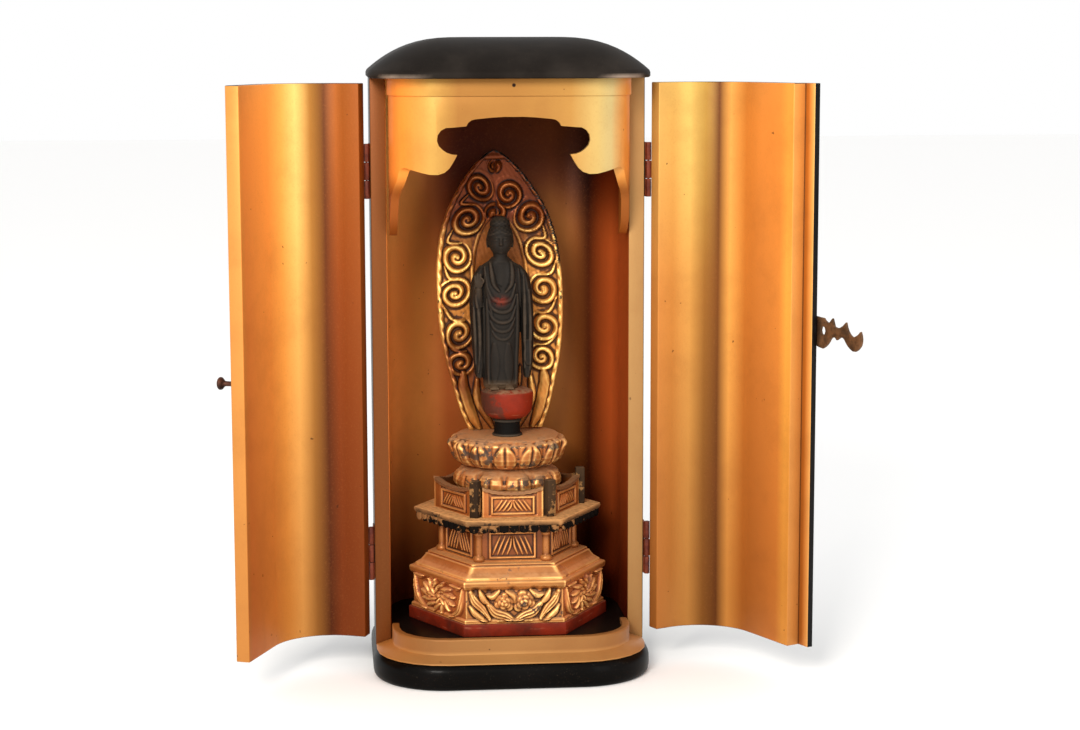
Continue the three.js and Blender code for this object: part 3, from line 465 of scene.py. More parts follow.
# closing strip: the gold's colour with a painted reflection, lighter toward its outer edge
stripGoldAndReflections = [(0, 160, 88, 26), (0.3, 172, 98, 32), (0.55, 204, 130, 58), (0.85, 228, 160, 82),
    (1, 250, 188, 108)]
goldStrip = lacquerGold("goldStrip", stripGoldAndReflections, 10, 280, 0.3)
# the walls' cut front ends: the left end painted darker as shade, the right end lighter
goldEnds = lacquerGold("goldWallEnds", [(0, 112, 62, 24), (1, 163, 123, 74)], 10, 280, 0.2)
# threshold step: the gold's colour with painted reflection bands
sillGoldAndReflections = [(0, 190, 120, 54), (0.25, 154, 108, 60), (0.5, 168, 122, 70), (0.75, 160, 112, 62),
    (1, 190, 134, 80)]
goldSill = lacquerGold("goldSill", sillGoldAndReflections, -60, 0, 0.2, lip=0.3)
black = lacquerBlack("blackLacquer", 0.06, 0.08, 0.26)
capBlack = lacquerBlack("capLacquer", 0.0, 0.03, 0.42, (24, 20, 17), (40, 35, 31))
baseBlack = lacquerBlack("baseLacquer", 0.03, 0.04, 0.24, (5, 4, 3), (10, 8, 7))


def alongOf(piece, path):
    # share of the way along a plan path of the nearest point, for every vertex
    path = np.asarray(path, float)
    points = pointsOf(piece)
    steps = np.hypot(*np.diff(path, axis=0).T)
    reach = np.concatenate([[0], np.cumsum(steps)])
    best = np.full(len(points), 1e9)
    along = np.zeros(len(points))
    for i, step in enumerate(steps):
        d = (path[i + 1] - path[i]) / max(step, 1e-9)
        t = np.clip((points[:, 0] - path[i, 0]) * d[0] + (points[:, 1] - path[i, 1]) * d[1], 0, step)
        away = np.hypot(points[:, 0] - path[i, 0] - t * d[0], points[:, 1] - path[i, 1] - t * d[1])
        near = away < best
        best = np.where(near, away, best)
        along = np.where(near, reach[i] + t, along)
    keep(piece, "along", along / reach[-1])
    return piece


body = {"halfX": 65, "halfY": 56.15, "corner": 33.5, "wall": 7.5, "hingePlane": -13.75, "bottom": 12,
    "top": 284.3, "bevel": 0.5, "steps": 22}


def hoopPath(half, far, radius, side, end):
    # plan line from one open end round both corners to the other
    turns = [math.pi / 2 * i / body["steps"] for i in range(body["steps"] + 1)]
    corner = [(radius - half - radius * math.cos(a), far - side * radius * (1 - math.sin(a)))
        for a in turns]
    return [(-half, end), *corner, *[(-x, y) for x, y in corner[::-1]], (half, end)]


def uprightWall(name, outer, inner, levels, clockwise, farEnd, bodyName, finishes, bevel):
    # wall between two plan lines: finishes are outside, inside, cut ends, then top and bottom
    loop = outer + inner[::-1]
    kinds = [0] * (len(outer) - 1) + [farEnd] + [1] * (len(inner) - 1) + [2]
    if clockwise:
        loop, kinds = loop[::-1], kinds[-2::-1] + kinds[-1:]
    rings = [[(x, y, z) for x, y in loop] for z in levels]
    piece = stack(name, rings, bodyName, finishes, 40, kinds + [3, 3])
    return alongOf(bevelled(piece, bevel, 3, 60), inner)


outside = hoopPath(body["halfX"], body["halfY"], body["corner"], 1, body["hingePlane"])
inside = hoopPath(*(body[key] - body["wall"] for key in ("halfX", "halfY", "corner")), 1,
    body["hingePlane"])
shell = uprightWall("cabinetWalls", outside, inside, (body["bottom"], body["top"]), True, 2, "cabinet",
                    [black, goldInner, goldEnds, black], body["bevel"])
settle(shell, "gold_lacquer", "cabinet_shell")

door = {"thick": 6.6, "bottom": 18.1, "top": 281.8, "back": -14.65, "meeting": 0.3, "steps": 26,
    "bevel": 0.45}


def doorPanel(name, side, bodyName, gold, node):
    halfX, halfY, corner = body["halfX"], body["halfY"], body["corner"]
    cx, cy = halfX - corner, -halfY + corner

    def plan(inset):
        r = corner - inset
        turns = [math.pi / 2 * i / door["steps"] for i in range(door["steps"] + 1)]
        line = [(door["meeting"], -halfY + inset),
            *[(cx + r * math.sin(a), cy - r * math.cos(a)) for a in turns], (halfX - inset, door["back"])]
        return [(side * x, y) for x, y in line]
    piece = uprightWall(name, plan(0), plan(door["thick"]), (door["bottom"], door["top"]), side < 0, 1,
        bodyName, [black, gold, goldEdge, black], door["bevel"])
    movePoints(piece, doorTurn(side)(pointsOf(piece)))
    settle(piece, "gold_lacquer", node)


doorPanel("leftDoor", -1, "left_door", goldLeft, "left_door_panel")
doorPanel("rightDoor", 1, "right_door", goldRight, "right_door_panel")

base = {"halfX": 66.5, "halfY": 57.65, "corner": 35,
    "levels": [(0, 2.6), (0.25, 1.7), (0.8, 0.95), (1.8, 0.35), (3.2, 0.05), (5, 0), (7.6, 0.05),
    (9.3, 0.35), (10.6, 0.95), (11.5, 1.8), (11.9, 2.6), (12, 3.4)]}
basePiece = stack("baseCushion", [roundedRing(base["halfX"], base["halfY"], base["corner"], *level)
                                  for level in base["levels"]], "cabinet", [baseBlack], 60)
settle(basePiece, "black_lacquer", "base_plinth")

cap = {"halfX": 66, "halfY": 57.15, "corner": 34.5, "bottom": 284.3, "rim": 287.3, "top": 303, "run": 45,
    "power": 2.6, "insets": [0.5, 1.2, 2.2, 3.4, 5, 7, 9.5, 12.5, 16, 20, 24.5, 29.5, 35, 40, 44.9]}
capRise = cap["top"] - cap["rim"]
capLevels = [(cap["bottom"], 1.6), (cap["bottom"], 0.8), (cap["bottom"] + 0.25, 0.3),
    (cap["bottom"] + 0.7, 0), (cap["rim"] - 0.7, 0),
    *[(cap["rim"] + capRise * (1 - (1 - i / cap["run"]) ** cap["power"]), i) for i in cap["insets"]]]
capPiece = stack("capDome", [roundedRing(cap["halfX"], cap["halfY"], cap["corner"], *level)
                             for level in capLevels], "cabinet", [capBlack], 60)
place = pointsOf(capPiece)
# painted highlight along the cap rim's lower edge at the front corners
rimHighlight = clamp((np.abs(place[:, 0]) - 38) / 10) * clamp((62 - np.abs(place[:, 0])) / 6)
keep(capPiece, "worn", rimHighlight * (place[:, 1] < 0) * (place[:, 2] < 285.2))
settle(capPiece, "black_lacquer", "cap")

mouth = {"line": (57.2, -48.95, 26.3, -1, -14.05), "bracket": 44}  # line round the front, inside the doors
for node, name, slotName, skin, bevel in (
        ("floor_panel", "floorBoard", "black_lacquer", black, 0.3),
        ("threshold_sill", "thresholdStep", "gold_lacquer", goldSill, 0.5),
        ("top_rail", "topRail", "gold_lacquer", goldFront, 0.35),
        ("valance", "valanceBoard", "gold_lacquer", goldFront, 0.45)):
    piece = solidCopy(node, name, "cabinet", [skin])
    bevelled(piece, bevel, 3, 32)
    alongOf(piece, hoopPath(*mouth["line"]))
    if node == "valance":
        # painted shade on the valance's side returns
        keep(piece, "tone", 0.9 * (np.abs(pointsOf(piece)[:, 0]) > mouth["bracket"]))
    settle(piece, slotName, node)
print("cabinet and doors made")


def carved(name, gold, ridge, deep, dustColor, wear=0.3, dustAmount=0.6, metallic=0.4, rough=0.36,
        bare=(34, 28, 24), specular=0.35):
    # "hollow" is kept on the mesh: ridges are painted bright, painted highlight together with rubbed
    # gilding, and recesses painted dark, painted shade together with grime
    f = Finish(name, Specular_IOR_Level=specular)
    hollow = f.own("hollow")
    cloud = f.noise(55, 5, 0.6)
    fine = f.noise(420, 4, 0.6)
    base = f.mix(cloud.between(0.38, 0.68), srgb(*gold), tuple(0.66 * c for c in srgb(*gold)))
    # painted highlight on ridges and painted shade in recesses, each mixed with real rubbing and grime
    highlightAndRub = (0 - hollow).between(0, 0.22) * (0.45 + 0.55 * cloud.between(0.4, 0.55))
    shadeAndGrime = hollow.between(-0.01, 0.16)
    lost = (f.noise(85, 5, 0.65) + 0.25 * fine).between(0.83 - wear * 0.3, 0.88 - wear * 0.3)
    dust = f.facingUp().between(0.45, 0.9) * (0.55 + 0.45 * fine.between(0.35, 0.6))
    base = f.over(base, (highlightAndRub, ridge), (shadeAndGrime * 0.94, deep), (lost * 0.9, bare),
        # painted light: side faces painted lighter, and redder in colour
        (dust * dustAmount, dustColor), (f.own("blush") * 0.5, (212, 108, 50)),
        # darker where the piece's own value is set: painted shade at the halo's top
        (f.own("tone"), (128, 78, 52), "MULTIPLY"), (f.own("bare"), bare),
        (f.own("redSpot") * fine.between(0.4, 0.55), (116, 40, 26)), (f.own("dusty") * 0.5, (112, 88, 64)),
        (f.noise(700, 2).between(0.7, 0.76) * 0.5, bare))
    return f.set(Base_Color=base, Metallic=metallic * (1 - lost) * (1 - dust * dustAmount),
        Roughness=rough + 0.3 * dust + 0.2 * lost + 0.15 * shadeAndGrime,
        Normal=f.bump(fine + 0.5 * cloud, 0.0003, 0.4))


haloGold = carved("haloGold", (186, 118, 50), (255, 208, 118), (50, 23, 8), (150, 100, 58), 0.14, 0.3, 0.5,
    specular=0.25)
plinthGold = carved("plinthGold", (172, 108, 52), (248, 196, 118), (44, 22, 10), (190, 140, 92), 0.34, 0.8)
dadoGold = carved("dadoGold", (132, 70, 30), (216, 146, 78), (40, 18, 8), (150, 104, 66), 0.14, 0.7)
columnGold = carved("columnGold", (136, 78, 34), (172, 108, 54), (40, 18, 8), (190, 140, 90), 0.3, 0.8)
panelGold = carved("panelGold", (172, 98, 44), (226, 164, 92), (60, 28, 12), (176, 126, 84), 0.14, 0.7)
lotusGold = carved("lotusGold", (172, 100, 46), (250, 198, 120), (46, 26, 15), (178, 130, 88), 0.58, 0.9,
    bare=(48, 38, 31))
slabWood = carved("slabWood", (58, 42, 30), (160, 114, 70), (14, 10, 8), (206, 154, 98), 0.35, 0.95, 0,
    0.75, specular=0.08)
postWood = carved("postWood", (25, 18, 14), (60, 44, 30), (9, 7, 5), (104, 80, 58), 0.62, 0.6, 0, 0.7,
                  (138, 100, 60), 0.03)
fringeWood = carved("fringeWood", (42, 31, 24), (92, 70, 50), (12, 9, 7), (150, 112, 76), 0.56, 0.7, 0,
    0.75, (138, 96, 58), 0.05)
standWood = carved("standWood", (30, 26, 22), (66, 58, 48), (9, 7, 5), (84, 70, 54), 0.2, 0.5, 0, 0.6,
    specular=0.1)
figureWood = carved("figureWood", (30, 25, 20), (58, 48, 38), (9, 7, 5), (72, 60, 46), 0.08, 0.4, 0, 0.6,
    (16, 13, 10), 0.12)


def redLacquer(name, dustAmount):
    f = Finish(name, Coat_Weight=0.0, Specular_IOR_Level=0.1)
    cloud = f.noise(60, 5, 0.6)
    fine = f.noise(500, 4)
    scratch = f.noise(70, 4, stretch=(1, 1, 9)).between(0.64, 0.7)
    chips = (cloud + 0.3 * fine).between(0.86, 0.9)
    dust = f.facingUp().between(0.3, 0.85) * fine.between(0.3, 0.55)
    # on the cup the piece's own value only moves the worn patches toward its left side
    worn = (f.noise(75, 5, 0.65) + 0.12 * f.own("worn")).between(0.52, 0.6) * dustAmount
    base = f.over(srgb(122, 35, 16), (cloud.between(0.35, 0.7), (80, 24, 12)),
        (scratch * 0.5, (160, 96, 70)), (chips * 0.8, (40, 26, 20)), (dust * dustAmount, (132, 100, 74)),
        (worn * 0.8, (56, 42, 33)))
    return f.set(Base_Color=base, Roughness=0.42 + 0.3 * dust + 0.1 * cloud,
        Normal=f.bump(fine, 0.0002, 0.3))


def bronze(name, dark, light, metallic):
    f = Finish(name, Specular_IOR_Level=0.25)
    cloud = f.noise(180, 5, 0.6)
    base = f.over(srgb(*dark), (cloud.between(0.35, 0.65), light),
                  (f.noise(900, 3).between(0.64, 0.7) * 0.6, (24, 18, 14)), (f.own("tone"), (20, 12, 8)))
    return f.set(Base_Color=base, Metallic=metallic, Roughness=0.38 + 0.25 * cloud,
        Normal=f.bump(cloud, 0.0003, 0.5))


redPlate = redLacquer("redPlate", 0.25)
redCup = redLacquer("redCup", 0.85)
latchMetal = bronze("latchMetal", (62, 42, 25), (106, 72, 44), 0.3)
hingeMetal = bronze("hingeMetal", (74, 26, 14), (112, 50, 28), 0.3)
knobMetal = bronze("knobMetal", (40, 24, 18), (84, 46, 30), 0.4)


def repeatTree():
    # a row of copies, and that row turned about a centre
    tree = bpy.data.node_groups.new("repeat", "GeometryNodeTree")
    sockets = {}
    tree.interface.new_socket("Geometry", in_out="OUTPUT", socket_type="NodeSocketGeometry")
    for name, kind in (("Geometry", "Geometry"), ("Count", "Int"), ("Step", "Vector"), ("Turns", "Int"),
                       ("Turn Angle", "Float"), ("Centre", "Vector"), ("Material", "Material")):
        sockets[name] = tree.interface.new_socket(name, in_out="INPUT",
            socket_type="NodeSocket" + kind).identifier
    enter, leave = tree.nodes.new("NodeGroupInput"), tree.nodes.new("NodeGroupOutput")

    def add(kind, sockets, operation=None):
        made = tree.nodes.new(kind)
        if operation:
            made.operation = operation
        for key, value in sockets.items():
            if isinstance(value, bpy.types.NodeSocket):
                tree.links.new(value, made.inputs[key])
            else:
                made.inputs[key].default_value = value
        return made.outputs[0]
    given = enter.outputs
    index = add("GeometryNodeInputIndex", {})
    shift = add("ShaderNodeVectorMath", {0: given["Step"], "Scale": index}, "SCALE")
    row = add("GeometryNodePoints", {"Count": given["Count"], "Position": shift})
    line = add("GeometryNodeInstanceOnPoints", {"Points": row, "Instance": given["Geometry"]})
    whole = add("GeometryNodeRealizeInstances", {"Geometry": line})
    back = add("ShaderNodeVectorMath", {0: given["Centre"], "Scale": -1}, "SCALE")
    centred = add("GeometryNodeTransform", {"Geometry": whole, "Translation": back})
    angle = add("ShaderNodeMath", {0: index, 1: given["Turn Angle"]}, "MULTIPLY")
    spin = add("ShaderNodeCombineXYZ", {"Z": angle})
    hub = add("GeometryNodePoints", {"Count": given["Turns"], "Position": given["Centre"]})
    ring = add("GeometryNodeInstanceOnPoints", {"Points": hub, "Instance": centred, "Rotation": spin})
    solid = add("GeometryNodeRealizeInstances", {"Geometry": ring})
    painted = add("GeometryNodeSetMaterial", {"Geometry": solid, "Material": given["Material"]})
    tree.links.new(painted, leave.inputs[0])
    return tree, sockets


repeatGroup, repeatSockets = repeatTree()


def repeated(piece, material, count=1, step=(0, 0, 0), turns=1, angle=0.0, centre=(0, 0, 0)):
    modifier = piece.modifiers.new("repeat", "NODES")
    modifier.node_group = repeatGroup
    for name, value in (("Count", count), ("Step", tuple(s * mm for s in step)), ("Turns", turns),
                        ("Turn Angle", float(angle)), ("Centre", tuple(c * mm for c in centre)),
                        ("Material", material)):
        modifier[repeatSockets[name]] = value
    return evaluated(piece)


def lathe(name, profile, centre, body, finishes, segments=64, smooth=50):
    # profile from the axis at the bottom to the axis at the top: (radius, z)
    rings = [[(centre[0] + x, centre[1] + y, z) for x, y in circle(r, segments)] for r, z in profile]
    return stack(name, rings, body, finishes, smooth)


pedestal = {"axis": (0.5, 4.35), "slabTop": 76.4, "seat": 112}
axisX, axisY = pedestal["axis"]


def along(profile, spacing):
    # profile corners kept, straight runs divided
    rows = [profile[0]]
    for (z0, r0), (z1, r1) in zip(profile, profile[1:]):
        pieces = max(1, round(math.hypot(z1 - z0, r1 - r0) / spacing))
        rows += [(z0 + (z1 - z0) * k / pieces, r0 + (r1 - r0) * k / pieces) for k in range(1, pieces + 1)]
    return np.array(rows)


def hexWall(name, profile, cols, spacing, finishes, relief=None, smooth=60):
    # six-sided tier; relief(side, u, z) gives the carving's height out of each face
    rows = along(profile, spacing)
    z, radius = rows[:, :1], rows[:, 1:]
    s = np.linspace(-1, 1, cols + 1)[None, :-1]
    sides = []
    for n in range(6):
        u = s * radius / 2
        height = np.zeros_like(u)
        if relief is not None:
            height = relief(n, u, z + 0 * u) * clamp((1 - np.abs(s)) * 9)
        a = math.radians(-90 + 60 * n)
        out = radius * math.sqrt(3) / 2 + height
        x = axisX + out * math.cos(a) - u * math.sin(a)
        y = axisY + out * math.sin(a) + u * math.cos(a)
        sides.append(np.stack([x, y, z + 0 * u], -1))
    return stack(name, np.concatenate(sides, 1), "cabinet", finishes, smooth)


def placeOnSide(points, n, apothem):
    # points drawn facing -Y about the origin go on side n of the hexagon
    points = np.asarray(points, float)
    a = math.radians(60 * n)
    x, y = points[..., 0], points[..., 1] - apothem
    return np.stack([axisX + x * math.cos(a) - y * math.sin(a), axisY + x * math.sin(a) + y * math.cos(a),
                     points[..., 2]], -1)


footing = solidCopy("footing_plate", "footingPlate", "cabinet", [redPlate])
settle(bevelled(footing, 0.5, 3), "red_lacquer", "footing_plate")

plinth = {"middle": 36.6, "pits": [(-12.2, 5.6), (-1.2, 6.8), (9.6, 6.6), (14.4, 5.8), (19, 6),
    (-18.6, 6.4), (-16.6, -5.4), (16.8, -5)], "front": [([(-12.6, -0.6), (-9.4, -4.4), (-4.8, -6),
    (-0.4, -8.2)], 5, 2.7, True), ([(12.6, -0.2), (9, -4.2), (4.8, -5.8), (0.4, -8.2)], 5, 2.7, True),
    ([(-4, 5.8), (-0.6, 3.4), (0, 1)], 3, 2), ([(7.6, 6.2), (10.6, 3.6), (13.6, 4)], 3.2, 2.1),
    ([(-7.4, 6), (-10.4, 3.2), (-13, 3.8)], 3.2, 2),
    ([(-21.4, -1.4), (-18.4, -5), (-13.4, -8.8)], 3.4, 2.5),
    ([(21.2, -1.4), (18.6, -5), (14, -8.8)], 3.4, 2.4),
    ([(-21, 5.4), (-19, 1.2), (-15.4, -2.6), (-12, -7.4)], 4.6, 2.1, True),
    ([(21, 5.2), (19, 1.2), (15.6, -2.8), (12.4, -7.4)], 4.6, 2.1, True),
    ([(-16.6, 6), (-14.8, 2), (-12.4, 0)], 3.6, 2.2), ([(16.8, 6), (15, 2.2), (12.6, 0)], 3.6, 2.2),
    ([(-8, -8.6), (-4, -9)], 1.8, 1.2), ([(8, -8.6), (4, -9)], 1.8, 1.2)]}


def rose(u, v, size, petals, turn):
    # full flower seen face on: rings of overlapping round petals about a boss
    height = 0.9 * dome(np.hypot(u, v) / size)
    for radius, reach, lift, count in ((0.68, 0.4, 0.5, petals), (0.4, 0.32, 1.1, petals - 1),
            (0.17, 0.24, 1.7, 3)):
        for i in range(count):
            a = 2 * math.pi * i / count + turn + radius * 2
            across = -u * math.sin(a) + v * math.cos(a)
            out = u * math.cos(a) + v * math.sin(a) - radius * size
            d = np.hypot(out * 1.15, across) / (reach * size)
            petal = (lift + 1.1 * dome(d) * (0.8 + 0.5 * out / size)) * (d < 1)
            height = np.maximum(height, petal)
    return height


def bloom(u, v, wide, high, turn):
    # open flower of slender curled petals
    lines = []
    for reach, inner, count, width in ((1.0, 0.5, 13, 2.7), (0.62, 0.22, 8, 2.2)):
        for i in range(count):
            a = 2 * math.pi * i / count + turn + reach
            lines.append(([(wide * r * math.cos(a + sweep), high * r * math.sin(a + sweep)) for r, sweep in
                           ((inner, 0), (0.5 * inner + 0.5 * reach, 0.42), (reach, 0.5))], width, 2.3))
    return np.maximum(strokes(u, v, lines), 1.8 * dome(np.hypot(u, v) / 2.1))


def plinthRelief(n, u, z):
    v = z - plinth["middle"]
    fade = clamp((z - 27.4) / 1.2) * clamp((45.6 - z) / 1.6)
    if n == 0:
        height = np.maximum.reduce([strokes(u, v, plinth["front"]), rose(u - 4.4, v - 0.4, 5.6, 6, 0.4),
                                    0.9 * rose(u + 5, v - 0.2, 4.9, 6, 1.1)])
        pits = sum(np.exp(-((u - x) / 1.9) ** 2 - ((v - y) / 2) ** 2) for x, y in plinth["pits"])
        height = height - 1.7 * pits * (height < 1.4)
    elif n in (1, 5):
        leaves = bothSides([([(-21, 6), (-20, 0), (-17.4, -5), (-10, -8.8)], 3.6, 2.2, True),
                            ([(-20, 7), (-16, 6.4), (-12, 7.4)], 2.6, 1.8)])
        mirror = 1 if n == 1 else -1
        height = np.maximum(bloom(u * mirror, v + 0.2, 14.4, 8, 0.5), strokes(u * mirror, v, leaves))
    elif n in (2, 4):
        leaves = bothSides([([(-20, 6), (-18.4, 0), (-14, -5.6), (-8, -7.6)], 3.4, 1.9, True)])
        height = np.maximum(strokes(u, v, leaves), 0.8 * rose(u, v, 7, 6, 0.2))
    else:
        height = strokes(u, v, [([(-16, 4), (0, -5), (16, 4)], 2.6, 1.2)])
    return height * fade


plinthPiece = hexWall("carvedPlinth", [(26.9, 46.6), (27, 47.3), (28.4, 47.4), (29.2, 46.2), (42.8, 46.2),
    (44, 47.6), (45, 48.2), (46.6, 48.4), (47.2, 48.1), (47.4, 47.4)], 132, 0.32, [plinthGold],
    plinthRelief)


def lightAndReddenSides(piece, front, sides):
    # painted light: faces turned away from the front are painted lighter, and redder in colour
    place = pointsOf(piece)
    turned = np.degrees(np.arctan2(place[:, 1] - axisY, place[:, 0] - axisX)) + 90
    keep(piece, "blush", np.where(np.abs(turned) < 30, front, sides))
    return piece


settle(lightAndReddenSides(hollowOf(plinthPiece), 0.04, 0.62), "carved_gold", "carved_plinth")

stepPiece = hexWall("stepMoulding", [(47.4, 45.6), (48.3, 45.6), (48.7, 45.2), (49.2, 44.2), (50.1, 42.7),
    (51.2, 41.6), (52.3, 40.7), (53.1, 40.3), (53.3, 39.3), (54.2, 39.2)], 40, 0.5, [plinthGold])
settle(lightAndReddenSides(hollowOf(stepPiece), 0.16, 0.62), "carved_gold", "step_moulding")


def framedLeaves(u, v, halfX, halfZ):
    # raised frame with slanting blades that meet in the middle
    away = np.minimum(halfX - np.abs(u), halfZ - np.abs(v))
    frameRise = 0.8 * clamp(away * 4) * clamp((1.3 - away) * 4)
    lines = []
    for i in range(4):
        x = (halfX - 2.2) * (1 - (i + 0.4) / 4)
        lines.append(([(x + 1.2, -halfZ + 2), (x - 0.4, -0.4), (max(x - 2.6, 0.3), halfZ - 2)], 1.3, 1))
    inside = away > 1.2
    return np.maximum(frameRise, strokes(u, v, bothSides(lines)) * inside - 0.35 * inside)


dado = {"middle": 62.1, "frame": (11.4, 6.6), "carved": (0, 1, 5), "from": 54.4, "to": 71}


def dadoRelief(n, u, z):
    carving = framedLeaves(u, z - dado["middle"], *dado["frame"])
    if n not in dado["carved"]:
        carving = 0.8 * (np.abs(np.abs(u) - 10.6) < 0.7)
    return carving * clamp((z - dado["from"]) * 2) * clamp((dado["to"] - z) * 2)


dadoPiece = hexWall("dadoWall", [(54.2, 33), (55, 33), (55.2, 32.6), (70.4, 32.6), (70.6, 33.2),
    (71.2, 33.2)], 92, 0.32, [dadoGold], dadoRelief)
settle(hollowOf(dadoPiece), "carved_gold", "dado")
ball = [(0.01, 54.2), (2.2, 54.25), (2.8, 54.8), (3, 55.6), (2.7, 56.5), (2, 57.1), (1.8, 57.6),
        *[(1.75, 58.2 + 0.95 * k) for k in range(10)], (2.3, 67.4),
        (2.3, 68), (1.8, 68.5), (1.9, 70), (2.5, 70.6), (2.5, 71.15), (0.01, 71.18)]
columns = lathe("dadoColumns", ball, (axisX + 32.2, axisY), "cabinet", [columnGold], 20)
repeated(columns, columnGold, turns=6, angle=math.pi / 3, centre=(axisX, axisY, 0))
settle(hollowOf(columns), "carved_gold")

slabPiece = hexWall("slabTable", [(71.2, 33.6), (72.6, 34), (73.2, 36), (73.3, 44.4), (73.8, 45.2),
    (74.8, 45.8), (75.8, 45.9), (76.3, 45.5), (76.4, 44.6)], 60, 0.6, [slabWood])
settle(hollowOf(slabPiece), "dark_wood", "hex_slab")
fringe = {"lobes": 9, "apothem": 38.8, "half": 21.4}
lobeWidth = 2 * fringe["half"] / fringe["lobes"]
lobe = []
for depth, sizes in ((-0.2, 0.86), (-0.75, 0.97), (-1.1, 0.9), (-1.35, 0.5)):
    ringPoints = [(-0.5, 3.9), (0.5, 3.9), (0.5, 1.6), (0.34, 0.5), (0, 0.05), (-0.34, 0.5), (-0.5, 1.6)]
    lobe.append([(x * lobeWidth * sizes, depth, 73.9 - (3.85 - z) * (0.6 + 0.4 * sizes))
                 for x, z in ringPoints])
start = -fringe["half"] + lobeWidth / 2
lobePoints = placeOnSide(np.array(lobe) + np.array([start, 0, 0]), 0, fringe["apothem"] - 0.4)
lobes = stack("slabFringe", lobePoints, "cabinet", [fringeWood], 60)
repeated(lobes, fringeWood, fringe["lobes"], (lobeWidth, 0, 0), 6, math.pi / 3, (axisX, axisY, 0))
settle(hollowOf(lobes, 1), "dark_wood")

gallery = {"radius": 36.2, "top": 90.8, "dip": 2.4, "wall": 2.4, "reach": 3.6, "joinReach": 1.6,
    "rail": 1.8, "middle": 82, "frame": (10.6, 4.6), "carved": (0, 1, 5)}


def galleryBoard(n, name, node):
    half = gallery["radius"] / 2
    left = half - gallery["joinReach" if n == 5 else "reach"]  # the lost post's boards reach the corner
    right = half - gallery["joinReach" if n == 4 else "reach"]
    cols, rows = 96, 46
    u = np.linspace(-left, right, cols)[None, :]
    span = (u + left) / (left + right)
    top = gallery["top"] - 4 * gallery["dip"] * span * (1 - span) + 0.12 * np.sin(u * 2.1 + n)
    z = pedestal["slabTop"] + (top - pedestal["slabTop"]) * np.linspace(0, 1, rows)[:, None]
    u = u + 0 * z
    rail = 0.8 * clamp((z - (top - gallery["rail"])) * 3)
    foot = 0.45 * clamp((pedestal["slabTop"] + 1.1 - z) * 3)
    carving = framedLeaves(u, z - gallery["middle"], *gallery["frame"])
    if n not in gallery["carved"]:
        carving = 0.5 * (np.abs(np.abs(u) - 10) < 0.7)
    stiles = 0.35 * (np.abs(u) > 11.6)
    front = np.stack([u, -np.maximum.reduce([rail, foot, carving, stiles]), z], -1)
    back = np.stack([u, gallery["wall"] + 0 * u, z], -1)
    loop = np.concatenate([front, back[:, ::-1]], 1)
    points = placeOnSide(loop, n, gallery["radius"] * math.sqrt(3) / 2)
    piece = stack(name, points, "cabinet", [panelGold], 60)
    keep(piece, "dusty", 1.6 * np.concatenate([rail, 0.8 * rail[:, ::-1]], 1))
    keep(piece, "tone", np.full(2 * u.size, 0.0 if n == 0 else 0.25))
    settle(hollowOf(piece), "carved_gold", node)


for n, side in enumerate(("front", "front_right", "back_right", "back", "back_left", "front_left")):
    galleryBoard(n, "gallery" + side.title().replace("_", ""), "gallery_panel_" + side)
for side in ("front_left", "front_right", "right", "back_right", "back_left"):
    post = solidCopy("gallery_post_" + side, "post" + side.title().replace("_", ""), "cabinet", [postWood])
    settle(hollowOf(bevelled(post, 0.5, 3), 1), "dark_wood", "gallery_post_" + side)


def petalTier(name, profile, petals, finishes, droop, node, cols=384, spacing=0.34, depth=2.3):
    # round tier with a row of full petals and the tips of a second row between them
    rows = along(profile, spacing)
    z, radius = rows[:, :1], rows[:, 1:]
    t = (z - z.min()) / (z.max() - z.min())
    if droop:
        t = 1 - t
    angle = np.linspace(0, 2 * math.pi, cols, endpoint=False)[None, :]

    def row(offset, low, high, lift):
        across = ((angle * petals / (2 * math.pi) + offset) % 1) * 2 - 1
        tt = clamp((t - low) / (high - low))
        half = 0.97 * clamp(1 - tt ** 5) ** 0.5 * (0.7 + 0.3 * np.sin(math.pi * clamp(tt * 1.2)))
        inside = clamp((half - np.abs(across)) / 0.16)
        swell = dome(across / np.maximum(half, 0.05))
        crease = 1 - 0.3 * swellOf(across / 0.12) * (tt > 0.15)
        lip = 1 + 0.45 * swellOf((tt - 0.8) / 0.14)
        return lift * np.sqrt(inside) * (0.25 + 0.75 * swell) * crease * lip * (t > low)
    relief = np.maximum(row(0, 0.02, 0.9, depth), row(0.5, 0.3, 1.0, depth * 0.5))
    edge = clamp(t * 8) * clamp((1 - t) * 9)
    if not droop:
        edge = edge - 0.5 * swellOf((t - 0.9) / 0.035)
    wear = 0.35 * np.sin(5 * angle + 1) * np.sin(3 * angle) + 0.2 * np.sin(17 * angle)
    reach = radius - depth * 0.9 + relief * edge + wear * edge * 0.5
    points = np.stack([axisX + reach * np.cos(angle), axisY + reach * np.sin(angle), z + 0 * reach], -1)
    points[..., 2] += np.where(z > z.max() - 1.2, 0.25 * np.sin(3 * angle + 0.4) - 0.25,
        0) * (0 if droop else 1)
    piece = stack(name, points, "cabinet", finishes, 60)
    settle(hollowOf(piece), "carved_gold", node)


petalTier("lotusLower", [(76.4, 20), (83, 20), (84.6, 22.4), (86.4, 25), (88.4, 26.2), (90.6, 26.2),
    (92.6, 25.6), (94.4, 24), (95.8, 21.6), (96.4, 20)], 11, [lotusGold], True, "lotus_lower", cols=336)
petalTier("lotusSeat", [(96.4, 19.6), (97.4, 22), (98.6, 24.4), (100.4, 26.4), (102.6, 27.6), (105, 28.2),
    (107.6, 28.3), (109.4, 28), (110.6, 27.4), (111.6, 26.6), (112, 25.4)], 13, [lotusGold], False,
    "lotus_upper")
print("pedestal made")


